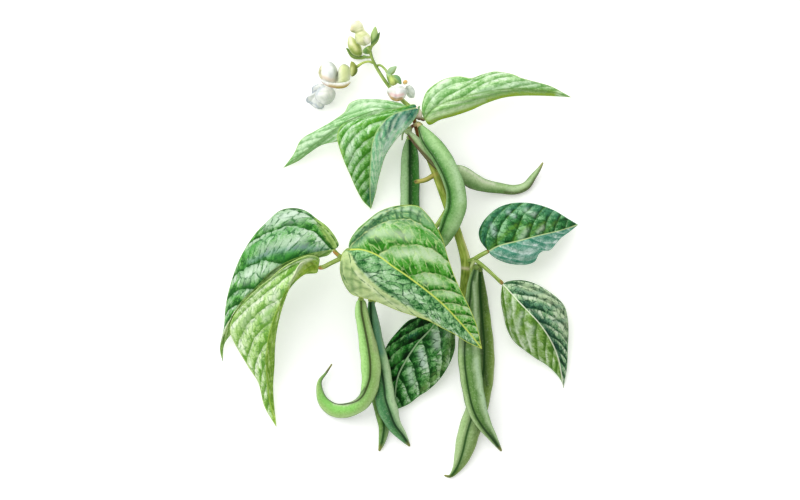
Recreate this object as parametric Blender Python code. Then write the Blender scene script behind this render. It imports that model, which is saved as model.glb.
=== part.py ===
"""A cut sprig of bush bean, lying on a table: a stem with three leaves of three leaflets, eight pods in three
clusters, and a flower stalk with an open flower, a half-open flower and buds.

The sprig is laid out in millimetres: x runs right, y runs towards the flowers, z is the height over the table.
A point of a line reads (x, y, z), and in a stalk or a pod (x, y, z, radius)."""

import bpy
import numpy as np

MM = 0.001

# The point of the layout that lies under the middle of the finished sprig, which becomes the origin.
MIDDLE = (-0.5, 1.0)

# Leaf blades and petals.
BLADE_THICKNESS = 0.7
BLADE_ROWS = 15
BLADE_COLUMNS = 4
PETAL_ROWS = 9
PETAL_COLUMNS = 3
# A side vein that ends at the part v of the margin leaves the midrib at its part v ** VEIN_SWEEP.
VEIN_SWEEP = 1.7
VEIN_BOW = 0.06

# Pods, and the groove of the seam along one side of them.
POD_SIDES = 12
POD_RINGS = 22
POD_FLATNESS = 0.86
SEAM_DEPTH = 0.12
SEAM_SPREAD = 0.28

STALK_SIDES = 8

COLOURS = {
    "leaf_mid_green": "#5F9A5B",
    "leaf_light_green": "#94BF6E",
    "leaf_blue_green": "#5C957C",
    "leaf_dark_green": "#3C7A40",
    "pod_green": "#7C9D62",
    "pod_bright_green": "#8CC063",
    "pod_dark_green": "#3F7A5E",
    "pod_olive": "#7F9456",
    "stem_olive": "#8E9C4A",
    "stalk_green": "#7FA548",
    "petal_white": "#EEF0EA",
    "petal_cream": "#E2E4A8",
}

STEM = [
    (8.1, 79.8, 18.0, 1.2), (11.4, 68.4, 17.0, 1.5), (18.0, 54.0, 15.5, 2.0), (24.0, 39.0, 14.5, 2.4),
    (30.0, 22.8, 13.0, 2.7), (36.0, 6.0, 12.5, 2.6), (39.6, -8.4, 12.0, 3.1), (38.6, -20.0, 9.5, 2.5),
    (37.4, -34.0, 5.0, 2.4), (36.6, -45.6, 2.4, 2.4),
]
STEM_STUB = [(22.8, 46.8, 15.0, 1.6), (15.5, 42.2, 14.6, 1.5), (8.4, 40.8, 14.2, 1.2)]

# For each leaflet, its midrib from base to tip and the two halves of its outline, left and right of someone
# walking from base to tip. "dome" lifts the middle of a half; "wave" is (height, waves) along its edge.
LEAFLETS = {
    "leaflet_top_back": {
        "material": "leaf_light_green",
        "midrib": [
            (5.4, 85.5, 26.5), (-12.0, 84.3, 28.5), (-22.8, 81.0, 26.5), (-33.0, 76.5, 22.0), (-43.2, 69.6, 16.5),
            (-52.8, 62.4, 11.0), (-61.8, 55.8, 6.0), (-70.5, 49.2, 2.0),
        ],
        "left": [
            (3.0, 79.0, 25.5), (-6.0, 75.0, 24.5), (-16.0, 71.0, 22.5), (-26.0, 67.5, 19.5), (-37.4, 65.1, 15.5),
            (-47.0, 63.0, 11.5), (-54.6, 58.2, 8.0), (-61.4, 53.4, 4.5),
        ],
        "right": [
            (1.2, 87.8, 25.0), (-9.0, 90.0, 24.5), (-18.8, 90.6, 22.5), (-25.8, 90.2, 20.5), (-30.6, 87.8, 19.0),
            (-33.2, 83.0, 19.0), (-39.6, 78.2, 16.5), (-50.4, 72.0, 11.5), (-59.4, 66.6, 8.0), (-64.2, 57.6, 5.0),
        ],
        "dome": (0.05, 0.05),
    },
    "leaflet_top_front": {
        "material": "leaf_mid_green",
        "midrib": [
            (9.9, 85.2, 30.5), (1.8, 83.4, 35.5), (-4.2, 81.0, 38.0), (-9.0, 77.4, 39.0), (-13.2, 72.0, 38.5),
            (-16.2, 64.8, 35.0), (-17.4, 55.2, 28.5), (-18.0, 45.0, 20.0), (-18.0, 34.8, 10.5), (-17.4, 24.6, 2.0),
        ],
        "left": [
            (12.0, 86.5, 29.5), (10.8, 82.0, 29.5), (6.6, 75.6, 30.0), (1.2, 69.9, 30.0), (-3.6, 64.4, 28.5),
            (-8.4, 57.0, 25.5), (-11.4, 48.0, 20.0), (-13.2, 41.0, 14.5), (-14.6, 34.2, 8.5),
        ],
        "right": [
            (9.0, 87.2, 30.5), (-2.4, 84.6, 33.5), (-16.2, 81.0, 32.0), (-26.4, 78.2, 30.0), (-33.9, 75.6, 27.5),
            (-37.0, 71.5, 26.0), (-37.8, 67.2, 25.0), (-36.6, 61.8, 24.0), (-33.2, 52.2, 20.5),
            (-30.0, 45.0, 16.5), (-26.4, 36.8, 10.5), (-22.2, 29.4, 5.0),
        ],
        "dome": (0.12, 0.08),
    },
    "leaflet_top_right": {
        "material": "leaf_light_green",
        "midrib": [
            (14.7, 78.6, 23.0), (19.8, 84.6, 26.0), (26.4, 88.2, 28.5), (36.6, 91.2, 31.0), (51.0, 94.8, 31.5),
            (61.8, 96.3, 29.0), (72.6, 96.6, 24.0), (82.8, 96.0, 18.0), (92.0, 94.8, 11.5), (103.5, 91.8, 3.0),
        ],
        "left": [
            (13.1, 82.8, 22.5), (13.8, 90.0, 23.0), (16.0, 95.1, 24.0), (21.0, 99.6, 25.5), (26.9, 102.7, 27.0),
            (34.8, 104.2, 27.5), (42.9, 103.2, 29.5), (49.2, 105.3, 27.5), (56.7, 107.1, 25.5),
            (68.4, 105.3, 22.5), (72.6, 103.4, 22.0), (82.2, 100.9, 17.0), (90.9, 98.4, 11.5),
        ],
        "right": [
            (17.4, 75.0, 21.5), (24.0, 78.0, 22.5), (32.7, 80.4, 24.0), (43.6, 84.2, 25.0), (50.9, 87.6, 25.5),
            (61.8, 91.2, 24.0), (72.6, 92.5, 19.0), (90.9, 92.5, 9.0),
        ],
        "dome": (0.08, 0.1),
    },
    "leaflet_left_back": {
        "material": "leaf_mid_green",
        "midrib": [
            (-39.6, 0.0, 44.5), (-52.8, -2.4, 49.0), (-64.2, -6.0, 49.0), (-75.6, -12.0, 45.5), (-85.2, -21.6, 38.0),
            (-94.8, -30.6, 28.5), (-101.4, -40.2, 19.0), (-106.2, -50.0, 11.0), (-108.0, -59.0, 4.5),
            (-106.8, -67.2, 1.5),
        ],
        "left": [
            (-43.0, -3.2, 42.5), (-49.0, -5.0, 42.0), (-57.0, -11.0, 37.5), (-66.0, -18.0, 33.5),
            (-77.0, -26.5, 27.0), (-88.0, -37.0, 19.0), (-98.4, -47.4, 11.0), (-105.6, -56.6, 5.0),
        ],
        "right": [
            (-36.6, 2.6, 43.5), (-37.6, 6.0, 42.5), (-43.0, 13.6, 41.0), (-49.8, 18.8, 39.0), (-56.6, 23.6, 37.0), (-64.2, 25.2, 35.5),
            (-72.0, 23.6, 34.5), (-78.6, 18.0, 34.0), (-86.4, 10.2, 32.0), (-93.0, 0.6, 28.0),
            (-97.8, -9.0, 24.0), (-102.6, -23.4, 17.0), (-105.0, -34.8, 12.0), (-105.9, -46.2, 8.0),
            (-108.4, -59.7, 3.2),
        ],
        "dome": (0.0, 0.12),
    },
    "leaflet_left_front": {
        "material": "leaf_light_green",
        "midrib": [
            (-49.0, -10.6, 39.5), (-52.8, -6.0, 46.0), (-58.8, -7.8, 51.0), (-63.6, -16.2, 52.0),
            (-69.6, -27.6, 48.5), (-75.0, -39.6, 41.5), (-78.6, -51.6, 33.0), (-80.4, -64.8, 23.5),
            (-79.8, -79.2, 13.5), (-78.0, -93.0, 5.5), (-74.4, -106.8, 1.5),
        ],
        "left": [
            (-49.5, -13.6, 37.5), (-57.0, -14.8, 39.5), (-63.6, -19.6, 41.0), (-69.0, -27.0, 40.5),
            (-72.6, -36.6, 36.5), (-75.0, -54.0, 25.5), (-75.2, -67.2, 17.5), (-76.2, -84.0, 8.0),
        ],
        "right": [
            (-48.2, -5.0, 45.0), (-55.0, -3.4, 52.0), (-69.0, -10.0, 51.5), (-77.6, -17.4, 47.0),
            (-85.2, -23.4, 42.0), (-94.8, -33.0, 32.5), (-101.4, -43.2, 24.0), (-101.8, -50.0, 20.5),
            (-91.2, -70.2, 14.0), (-85.2, -79.8, 11.0), (-81.6, -94.2, 4.5),
        ],
        "dome": (0.0, 0.04),
    },
    "leaflet_centre": {
        "material": "leaf_mid_green",
        "midrib": [
            (-30.6, 0.3, 45.5), (-22.8, 0.2, 48.5), (-13.8, -3.0, 50.5), (-4.5, -9.6, 51.5), (4.8, -15.9, 51.0),
            (15.6, -24.0, 48.5), (25.0, -31.8, 45.0), (34.8, -42.0, 40.0), (43.0, -51.4, 35.0), (49.2, -59.4, 30.0),
        ],
        "left": [
            (-30.2, 5.2, 44.5), (-25.8, 12.2, 43.5), (-19.8, 17.6, 42.5), (-12.6, 23.0, 41.0), (-4.5, 26.0, 40.0),
            (4.8, 27.0, 39.5), (11.4, 26.0, 39.5), (16.8, 21.0, 40.0), (21.6, 14.4, 40.5), (25.6, 6.2, 41.5),
            (28.8, -4.5, 41.5), (32.4, -15.0, 41.0), (37.0, -25.2, 39.5), (41.7, -34.6, 37.5), (46.2, -46.0, 34.0),
        ],
        "right": [
            (-33.8, -1.0, 43.5), (-36.0, -9.0, 40.0), (-35.6, -15.0, 37.5), (-33.3, -21.0, 36.0),
            (-29.4, -26.2, 35.0), (-25.2, -28.0, 35.0), (-15.2, -30.6, 37.0), (-0.6, -36.6, 38.5),
            (10.2, -40.0, 39.5), (18.0, -42.8, 39.5), (25.0, -46.7, 38.0), (31.8, -50.0, 36.0),
            (40.0, -55.2, 32.5),
        ],
        "dome": (0.12, 0.16),
    },
    "leaflet_right_upper": {
        "material": "leaf_blue_green",
        "midrib": [
            (53.3, -0.6, 22.5), (59.2, 2.4, 26.0), (70.8, 5.4, 28.5), (83.4, 8.7, 26.5), (96.0, 11.6, 18.5),
            (107.2, 15.2, 9.0),
        ],
        "left": [
            (51.0, 1.6, 21.5), (48.0, 6.0, 20.5), (47.2, 10.8, 19.5), (49.1, 15.9, 18.5), (54.0, 21.8, 17.0),
            (60.0, 26.0, 16.0), (67.6, 28.2, 15.5), (77.8, 28.3, 15.0), (86.2, 26.4, 14.0), (93.6, 23.4, 12.0),
            (100.5, 19.2, 10.5),
        ],
        "right": [
            (54.0, -2.4, 21.5), (59.2, -6.0, 20.0), (66.6, -8.4, 18.5), (76.0, -8.8, 17.5), (81.0, -6.9, 18.5),
            (83.4, -2.4, 21.0), (85.6, -0.8, 20.5), (90.4, 0.0, 16.5), (93.3, 3.2, 16.0), (96.4, 6.8, 14.0),
            (102.6, 11.4, 10.0),
        ],
        "dome": (0.1, 0.08),
    },
    "leaflet_right_lower": {
        "material": "leaf_blue_green",
        "midrib": [
            (61.7, -20.4, 18.5), (70.8, -30.5, 24.0), (77.8, -37.8, 25.5), (83.4, -43.8, 24.0), (90.4, -54.0, 18.5),
            (95.4, -66.0, 10.5), (98.4, -83.4, 1.5),
        ],
        "left": [
            (64.6, -18.8, 18.0), (72.6, -18.0, 17.0), (80.3, -19.8, 15.5), (87.8, -23.7, 14.0), (94.6, -28.8, 12.5),
            (98.8, -33.6, 11.5), (100.8, -40.6, 10.5), (101.4, -49.0, 8.5), (101.0, -59.1, 6.0), (100.6, -70.1, 4.0),
        ],
        "right": [
            (61.2, -22.0, 17.5), (60.5, -29.4, 15.0), (61.8, -37.8, 13.0), (64.2, -47.4, 11.5), (68.4, -54.9, 10.5),
            (74.4, -60.0, 9.5), (81.0, -64.8, 8.0), (87.8, -69.0, 6.0), (93.6, -74.3, 4.0), (97.2, -79.2, 2.2),
        ],
        "dome": (0.1, 0.1),
    },
    "leaflet_low_centre": {
        "material": "leaf_dark_green",
        "midrib": [
            (31.2, -32.4, 17.0), (24.0, -40.0, 18.0), (18.0, -48.0, 17.0), (10.2, -56.4, 14.5), (2.4, -68.4, 10.5),
            (-1.4, -76.8, 8.0), (-3.9, -96.6, 3.0),
        ],
        "left": [
            (32.6, -36.0, 16.0), (33.6, -44.0, 14.5), (33.2, -51.6, 13.5), (33.0, -59.1, 12.0), (30.6, -66.6, 10.5),
            (24.6, -76.8, 8.5), (17.0, -84.4, 6.5), (12.0, -87.6, 5.5), (4.8, -93.0, 4.0),
        ],
        "right": [
            (29.0, -31.4, 16.5), (20.0, -34.0, 15.0), (10.8, -40.0, 13.0), (4.8, -42.6, 12.0), (-1.8, -49.2, 10.0),
            (-6.6, -55.2, 8.5), (-9.2, -60.6, 7.5), (-9.4, -66.0, 7.0), (-8.2, -76.0, 5.5), (-6.6, -88.0, 3.5),
        ],
        "dome": (0.06, 0.06),
    },
}

# For each pod, its line from neck to beak, and where its seam runs round it in degrees, at even steps from neck to
# beak: 0 is the right side of someone walking to the beak, 90 is on top.
PODS = {
    "pod_upper_thick": {
        "material": "pod_green",
        "seam": [40, 42, 45, 48, 35],
        "line": [
            (11.8, 74.8, 23.2, 1.4), (16.8, 66.6, 27.5, 4.8), (24.0, 57.0, 31.0, 5.9), (29.4, 46.8, 32.0, 5.9),
            (33.3, 36.0, 30.5, 6.0), (33.6, 25.8, 28.0, 6.3), (30.9, 17.4, 25.0, 6.0), (27.6, 10.2, 22.0, 5.2),
            (22.8, 1.8, 17.5, 3.4), (16.8, -7.8, 12.5, 0.6),
        ],
    },
    "pod_upper_curved": {
        "material": "pod_olive",
        "seam": [20, 20, 5, -25, -25],
        "line": [
            (4.4, 71.2, 21.8, 1.3), (9.0, 66.3, 22.4, 2.5), (15.0, 59.4, 22.6, 2.9), (21.6, 52.2, 21.5, 3.0),
            (29.4, 48.0, 20.0, 3.6), (36.6, 46.2, 17.5, 4.6), (43.8, 41.4, 13.0, 5.0), (51.0, 38.7, 8.0, 4.0),
            (60.0, 37.2, 3.4, 3.3), (69.0, 36.3, 2.0, 2.9), (75.6, 38.4, 2.1, 2.6), (80.4, 44.4, 4.2, 1.9),
            (84.0, 49.2, 5.8, 1.1), (86.1, 52.8, 7.0, 0.5),
        ],
    },
    "pod_upper_back": {
        "material": "pod_green",
        "seam": [90, 90],
        "line": [
            (5.7, 67.8, 12.5, 1.5), (6.0, 60.0, 8.5, 4.6), (6.0, 48.0, 5.2, 5.6), (6.0, 37.2, 4.3, 5.8),
            (6.0, 26.4, 4.1, 5.7), (6.6, 6.0, 4.0, 5.5), (7.8, -12.0, 3.5, 4.6), (9.0, -25.2, 2.0, 0.6),
        ],
    },
    "pod_left_hooked": {
        "material": "pod_bright_green",
        "seam": [92, 90, 88, 40, 30],
        "line": [
            (-23.4, -29.4, 29.0, 1.7), (-23.1, -37.2, 28.5, 3.4), (-21.6, -45.0, 28.0, 4.3), (-19.2, -57.0, 27.5, 5.4),
            (-17.4, -69.6, 26.0, 6.0), (-18.0, -81.6, 21.5, 5.2), (-20.4, -88.8, 17.0, 4.5), (-24.6, -93.3, 12.5, 4.3),
            (-33.0, -96.6, 6.0, 4.4), (-40.2, -96.0, 3.1, 4.2), (-45.6, -91.8, 2.6, 3.4), (-48.0, -86.4, 3.4, 2.4),
            (-48.3, -79.2, 4.2, 1.3), (-44.4, -73.8, 5.0, 0.7), (-40.8, -68.4, 6.0, 0.5),
        ],
    },
    "pod_left_middle": {
        "material": "pod_dark_green",
        "seam": [75, 80, 95, 100],
        "line": [
            (-17.4, -30.0, 20.5, 1.6), (-16.2, -45.0, 18.5, 4.2), (-14.4, -57.0, 17.0, 4.8), (-11.4, -69.0, 15.5, 5.1),
            (-9.6, -81.0, 14.8, 5.4), (-9.0, -89.4, 14.6, 6.0), (-6.9, -96.6, 13.5, 5.9), (-3.6, -105.0, 10.0, 4.4),
            (1.2, -111.6, 6.0, 3.0), (6.0, -118.2, 2.5, 0.6),
        ],
    },
    "pod_left_back": {
        "material": "pod_olive",
        "seam": [90, 90],
        "line": [
            (-16.8, -33.0, 12.0, 1.5), (-16.2, -54.0, 7.0, 3.9), (-15.0, -75.0, 3.4, 4.5), (-13.2, -88.8, 3.0, 4.2),
            (-10.8, -99.0, 2.8, 3.9), (-9.6, -106.8, 2.5, 3.3), (-10.8, -115.2, 2.0, 2.1), (-12.6, -121.2, 1.8, 0.6),
        ],
    },
    "pod_lower_front": {
        "material": "pod_green",
        "seam": [75, 68, 62, 65, 85],
        "line": [
            (45.7, -11.0, 22.9, 1.6), (43.8, -19.2, 24.0, 3.0), (43.2, -30.0, 23.5, 4.2), (42.6, -42.0, 22.0, 5.4),
            (41.4, -60.0, 20.0, 6.7), (43.2, -79.8, 18.4, 6.6), (46.2, -94.8, 17.2, 6.0), (50.4, -104.4, 13.8, 4.5),
            (55.8, -112.8, 7.5, 2.7), (61.2, -121.2, 2.3, 0.6),
        ],
    },
    "pod_lower_back": {
        "material": "pod_olive",
        "seam": [90, 88, 78, 90],
        "line": [
            (47.9, -11.8, 12.7, 1.6), (48.2, -25.2, 9.0, 3.9), (49.8, -43.8, 5.6, 5.1), (51.0, -60.0, 4.3, 5.7),
            (50.7, -72.6, 4.4, 6.0), (48.6, -85.8, 4.6, 6.3), (45.6, -97.2, 4.8, 6.6), (41.4, -109.8, 4.8, 6.6),
            (37.8, -123.0, 3.6, 5.2), (34.2, -131.4, 2.2, 2.7), (30.0, -136.2, 1.6, 1.0), (26.4, -135.6, 2.2, 0.5),
        ],
    },
}

# For each stalk, the lines of the round and of the flattened tubes that are grown together in it.
STALKS = {
    "main_stem": {
        "material": "stem_olive",
        "round": [STEM, STEM_STUB],
    },
    "leaf_stalk_left": {
        "material": "stalk_green",
        "round": [
            [
                (27.7, 23.2, 16.3, 1.6), (26.0, 20.6, 17.4, 1.5), (21.0, 13.4, 19.6, 1.4), (14.0, 7.6, 25.0, 1.4),
                (4.0, 3.0, 32.0, 1.4), (-6.0, -0.2, 36.5, 1.4), (-16.0, -3.0, 38.8, 1.4), (-27.0, -4.4, 39.2, 1.4),
                (-35.2, -4.6, 39.4, 1.6),
            ],
            [(-34.6, -4.6, 39.4, 1.4), (-37.4, -2.6, 41.2, 1.3), (-39.3, -0.5, 43.0, 1.1)],
            [(-34.6, -4.6, 39.4, 1.3), (-33.2, -1.8, 40.6, 1.1), (-31.4, -0.2, 43.4, 1.0)],
            [(-34.6, -4.6, 39.4, 1.4), (-42.0, -8.2, 39.0, 1.4), (-46.0, -10.2, 38.6, 1.4), (-48.2, -10.5, 38.4, 1.1)],
        ],
    },
    "leaf_stalk_right": {
        "material": "stalk_green",
        "round": [
            [(42.2, -6.4, 14.8, 1.4), (43.6, -6.0, 16.6, 1.5), (45.0, -5.2, 18.4, 1.6)],
            [(44.6, -5.4, 17.8, 1.4), (48.6, -3.0, 20.4, 1.4), (52.6, -0.9, 21.6, 1.1)],
            [(44.6, -5.4, 17.8, 1.3), (52.0, -11.4, 18.4, 1.2), (58.5, -17.4, 17.8, 1.1), (61.0, -19.7, 17.8, 1.0)],
            [
                (44.4, -5.6, 17.6, 1.2), (43.2, -10.0, 16.6, 1.2), (42.6, -18.0, 15.8, 1.2), (41.2, -27.0, 15.2, 1.2),
                (37.0, -31.6, 15.2, 1.1), (33.6, -33.0, 15.6, 1.1), (31.9, -32.8, 16.1, 1.0),
            ],
        ],
    },
    "leaf_stalk_top": {
        "material": "stalk_green",
        "round": [
            [(8.9, 79.2, 20.0, 1.2), (9.5, 80.2, 22.6, 1.3), (9.6, 81.0, 26.0, 1.4)],
            [(9.6, 81.0, 25.4, 1.2), (7.8, 83.6, 25.6, 1.1), (6.1, 85.0, 25.6, 0.9)],
            [(9.6, 81.0, 25.4, 1.2), (10.2, 83.0, 26.6, 1.1), (10.1, 84.6, 28.2, 0.8)],
            [(9.6, 80.6, 24.2, 1.2), (12.2, 79.2, 23.0, 1.1), (14.0, 78.5, 22.2, 0.9)],
        ],
    },
    "pod_stalk_upper": {
        "material": "stalk_green",
        "round": [
            [(9.8, 75.2, 19.6, 1.0), (10.3, 75.8, 20.6, 1.1), (10.7, 76.0, 21.7, 1.2)],
            [(10.0, 75.4, 19.9, 1.0), (7.6, 74.4, 20.4, 1.0), (5.6, 71.9, 21.2, 1.0)],
            [(8.6, 75.0, 20.0, 0.9), (6.8, 74.0, 18.2, 0.9), (6.3, 71.8, 15.8, 0.9), (5.8, 68.9, 13.2, 1.1)],
            [(6.6, 73.6, 20.6, 0.9), (3.4, 72.4, 20.4, 0.8), (1.6, 69.6, 19.8, 0.6), (1.2, 65.6, 18.8, 0.5)],
        ],
    },
    "pod_stalk_left": {
        "material": "stalk_green",
        "round": [
            [
                (27.4, 18.0, 11.8, 1.5), (24.0, 11.0, 10.6, 1.4), (14.0, 1.5, 13.0, 1.3), (4.0, -7.0, 17.5, 1.3),
                (-6.0, -15.0, 22.5, 1.3), (-13.0, -21.0, 26.0, 1.5),
            ],
            [(-12.6, -20.6, 25.8, 1.3), (-19.0, -25.0, 28.6, 1.3), (-22.8, -28.0, 29.2, 1.4)],
            [(-12.6, -20.6, 25.8, 1.3), (-16.0, -25.6, 23.6, 1.2), (-17.2, -29.0, 21.2, 1.3)],
            [(-12.6, -20.6, 25.8, 1.3), (-13.0, -26.6, 19.0, 1.1), (-16.2, -32.0, 13.2, 1.2)],
        ],
    },
    "pod_stalk_lower": {
        "material": "stalk_green",
        "round": [
            [(43.4, -10.2, 11.9, 1.2), (45.2, -9.6, 12.4, 1.2), (47.0, -10.0, 12.8, 1.3)],
            [(44.9, -9.7, 12.3, 1.1), (45.9, -10.4, 15.0, 1.1), (46.0, -11.0, 18.0, 1.1), (45.8, -10.4, 21.4, 1.3)],
        ],
    },
    "flower_stalk": {
        "material": "stalk_green",
        "round": [
            [
                (7.9, 80.7, 18.1, 1.1), (7.2, 84.4, 18.3, 1.3), (2.0, 89.4, 18.0, 1.3), (-6.6, 98.4, 15.6, 1.1),
                (-12.9, 107.6, 13.4, 1.0), (-16.6, 114.8, 13.0, 0.9), (-18.2, 120.4, 13.4, 1.0),
            ],
            [(-15.6, 112.2, 13.0, 0.8), (-18.8, 113.2, 13.0, 0.7), (-22.4, 112.4, 12.4, 0.7), (-26.4, 109.8, 11.6, 1.0)],
            [
                (-29.2, 113.4, 11.4, 0.6), (-28.2, 110.6, 11.2, 2.0), (-27.8, 107.6, 11.0, 2.3),
                (-29.0, 104.2, 10.6, 0.7),
            ],
            [(-14.6, 110.6, 13.0, 0.8), (-12.0, 111.0, 14.5, 0.7), (-9.0, 108.6, 17.5, 0.7), (-7.4, 106.2, 20.0, 0.9)],
            [(-7.6, 106.6, 19.6, 0.9), (-5.8, 103.4, 21.6, 2.2), (-3.6, 100.4, 23.6, 2.8), (-3.0, 99.2, 24.2, 2.4)],
            [(-17.8, 118.4, 13.2, 1.0), (-19.6, 120.0, 13.3, 2.8), (-20.8, 121.6, 13.5, 3.2)],
            [(-17.0, 116.0, 13.0, 0.8), (-19.6, 115.8, 10.4, 0.8), (-22.4, 116.4, 8.0, 1.0)],
        ],
        "flat": [
            [(-6.8, 104.8, 21.0, 0.8), (-5.2, 107.4, 22.4, 2.2), (-2.0, 110.2, 22.8, 0.5)],
            [(-5.0, 104.4, 23.0, 0.8), (-1.8, 102.6, 25.6, 2.1), (0.8, 99.4, 26.0, 0.5)],
            [(-21.0, 116.0, 8.4, 0.9), (-23.8, 115.8, 4.4, 1.2), (-28.4, 117.0, 2.0, 1.4), (-32.4, 121.8, 1.8, 0.4)],
            [(-18.0, 119.6, 13.4, 0.8), (-16.6, 124.0, 13.2, 0.9), (-15.4, 129.0, 12.8, 2.2), (-14.8, 134.4, 12.8, 0.5)],
            [(-17.2, 122.0, 13.2, 0.7), (-14.0, 126.4, 11.6, 1.1), (-12.2, 131.0, 11.0, 0.4)],
        ],
    },
}

# The closed parts of the flowers: buds and keels, as the lines of round tubes.
BUDS = {
    "bud_top": [
        (-21.3, 122.7, 13.5, 2.2), (-21.6, 125.2, 13.5, 4.5), (-23.2, 128.6, 13.2, 4.2), (-24.2, 131.4, 12.8, 3.1),
        (-25.6, 133.4, 12.4, 3.9), (-27.4, 134.8, 12.2, 4.1), (-29.0, 136.0, 12.0, 2.2),
    ],
    "bud_left": [(-23.3, 117.0, 7.9, 1.2), (-26.0, 120.0, 7.2, 3.4), (-28.6, 124.4, 6.6, 3.2), (-30.4, 128.6, 6.2, 0.8)],
    "flower_open_keel": [
        (-48.4, 102.6, 14.0, 0.5), (-44.4, 100.0, 15.2, 1.2), (-39.0, 98.7, 15.6, 1.6), (-33.4, 99.1, 15.2, 1.7),
        (-29.6, 101.2, 14.2, 0.6),
    ],
    "flower_half_keel": [(2.0, 99.6, 24.0, 0.6), (3.2, 100.7, 24.4, 1.4), (3.8, 102.0, 24.4, 0.6)],
}

# The open petals, as base and tip of the middle line and the two halves of the outline, like the leaflets.
PETALS = {
    "flower_open_standard": {
        "midrib": [(-38.6, 100.4, 9.6), (-38.0, 103.6, 10.4), (-37.4, 106.8, 10.8)],
        "left": [
            (-43.5, 101.0, 8.4), (-47.6, 102.8, 7.0), (-49.2, 106.6, 6.5), (-47.4, 111.4, 6.5), (-43.2, 113.6, 6.5),
            (-39.6, 111.8, 8.0), (-37.9, 109.0, 9.6),
        ],
        "right": [
            (-34.0, 100.4, 9.0), (-30.6, 101.8, 8.5), (-29.6, 106.4, 8.5), (-30.6, 110.2, 8.5), (-33.8, 112.0, 8.5),
            (-36.3, 110.2, 9.2),
        ],
        "dome": (0.5, 0.4),
    },
    "flower_open_wing_front": {
        "midrib": [(-40.0, 97.0, 9.4), (-44.6, 93.4, 11.4), (-48.8, 88.6, 6.4)],
        "left": [(-38.8, 94.8, 8.4), (-39.2, 91.4, 7.6), (-41.8, 88.2, 6.6), (-45.6, 87.2, 5.8)],
        "right": [(-43.2, 98.8, 8.9), (-47.4, 98.4, 8.4), (-50.4, 95.6, 7.6), (-51.0, 91.2, 6.4)],
        "dome": (0.16, 0.16),
    },
    "flower_open_wing_back": {
        "midrib": [(-44.6, 98.0, 5.2), (-50.0, 94.0, 4.6), (-54.6, 88.2, 2.4)],
        "left": [(-44.5, 95.0, 4.6), (-44.8, 89.0, 3.6), (-46.8, 85.0, 2.6), (-51.2, 85.6, 2.2)],
        "right": [
            (-48.0, 100.2, 5.6), (-52.8, 98.0, 5.2), (-53.4, 94.2, 4.6), (-56.2, 91.6, 3.8), (-56.4, 89.2, 2.8),
        ],
        "dome": (0.1, 0.1),
    },
    "flower_half_standard": {
        "midrib": [(-2.4, 97.6, 25.8), (-2.2, 93.6, 28.0), (-2.0, 89.0, 26.8)],
        "left": [(0.8, 98.4, 25.4), (3.4, 96.4, 25.0), (3.6, 92.8, 25.0), (1.2, 89.8, 26.0)],
        "right": [(-5.5, 97.8, 24.8), (-7.8, 95.6, 24.0), (-6.8, 92.2, 25.0), (-4.6, 89.8, 26.2)],
        "dome": (0.3, 0.3),
    },
    "flower_half_wing": {
        "midrib": [(3.2, 97.4, 21.4), (6.0, 94.6, 22.0), (8.6, 91.4, 20.8)],
        "left": [(5.6, 99.0, 21.6), (8.8, 96.0, 21.4)],
        "right": [(3.6, 94.0, 21.2), (5.8, 91.4, 20.8)],
        "dome": (0.2, 0.2),
    },
}


def metres(points):
    """The points of the layout as points of the finished sprig."""
    return [((x - MIDDLE[0]) * MM, (y - MIDDLE[1]) * MM, z * MM) for x, y, z in points]


def material(name):
    """A plain matt colour for one finish, made on its first use."""
    if name not in bpy.data.materials:
        finish = bpy.data.materials.new(name)
        finish.use_nodes = True
        shader = finish.node_tree.nodes["Principled BSDF"]
        channels = [int(COLOURS[name][start : start + 2], 16) / 255 for start in (1, 3, 5)]
        shader.inputs["Base Color"].default_value = (*[linear(channel) for channel in channels], 1.0)
        shader.inputs["Roughness"].default_value = 0.55
    return bpy.data.materials[name]


def linear(channel):
    """A display colour value as the linear value that light is worked out with."""
    return channel / 12.92 if channel <= 0.04045 else ((channel + 0.055) / 1.055) ** 2.4


def add_mesh(name, points, faces, finish):
    """A smooth-shaded mesh object from points in millimetres."""
    mesh = bpy.data.meshes.new(name)
    mesh.from_pydata(metres(points), [], faces)
    mesh.materials.append(material(finish))
    mesh.shade_smooth()
    piece = bpy.data.objects.new(name, mesh)
    bpy.context.scene.collection.objects.link(piece)
    return piece


def smooth_line(points, places):
    """Points of the smooth curve through these points, at these places between 0 (start) and 1 (end)."""
    knots = np.array(points, dtype=float)
    knots = np.vstack([2 * knots[0] - knots[1], knots, 2 * knots[-1] - knots[-2]])
    steps = np.sqrt(np.linalg.norm(np.diff(knots[:, :3], axis=0), axis=1))
    times = np.concatenate([[0.0], np.cumsum(steps)])
    dense = []
    for span in range(1, len(knots) - 2):
        t0, t1, t2, t3 = times[span - 1 : span + 3]
        k0, k1, k2, k3 = knots[span - 1 : span + 3]
        for t in np.linspace(t1, t2, 16, endpoint=False):
            a = (k0 * (t1 - t) + k1 * (t - t0)) / (t1 - t0)
            b = (k1 * (t2 - t) + k2 * (t - t1)) / (t2 - t1)
            c = (k2 * (t3 - t) + k3 * (t - t2)) / (t3 - t2)
            d = (a * (t2 - t) + b * (t - t0)) / (t2 - t0)
            e = (b * (t3 - t) + c * (t - t1)) / (t3 - t1)
            dense.append((d * (t2 - t) + e * (t - t1)) / (t2 - t1))
    dense = np.array([*dense, knots[-2]])
    lengths = np.concatenate([[0.0], np.cumsum(np.linalg.norm(np.diff(dense[:, :3], axis=0), axis=1))])
    wanted = np.asarray(places) * lengths[-1]
    return np.array([np.interp(wanted, lengths, column) for column in dense.T]).T


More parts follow.
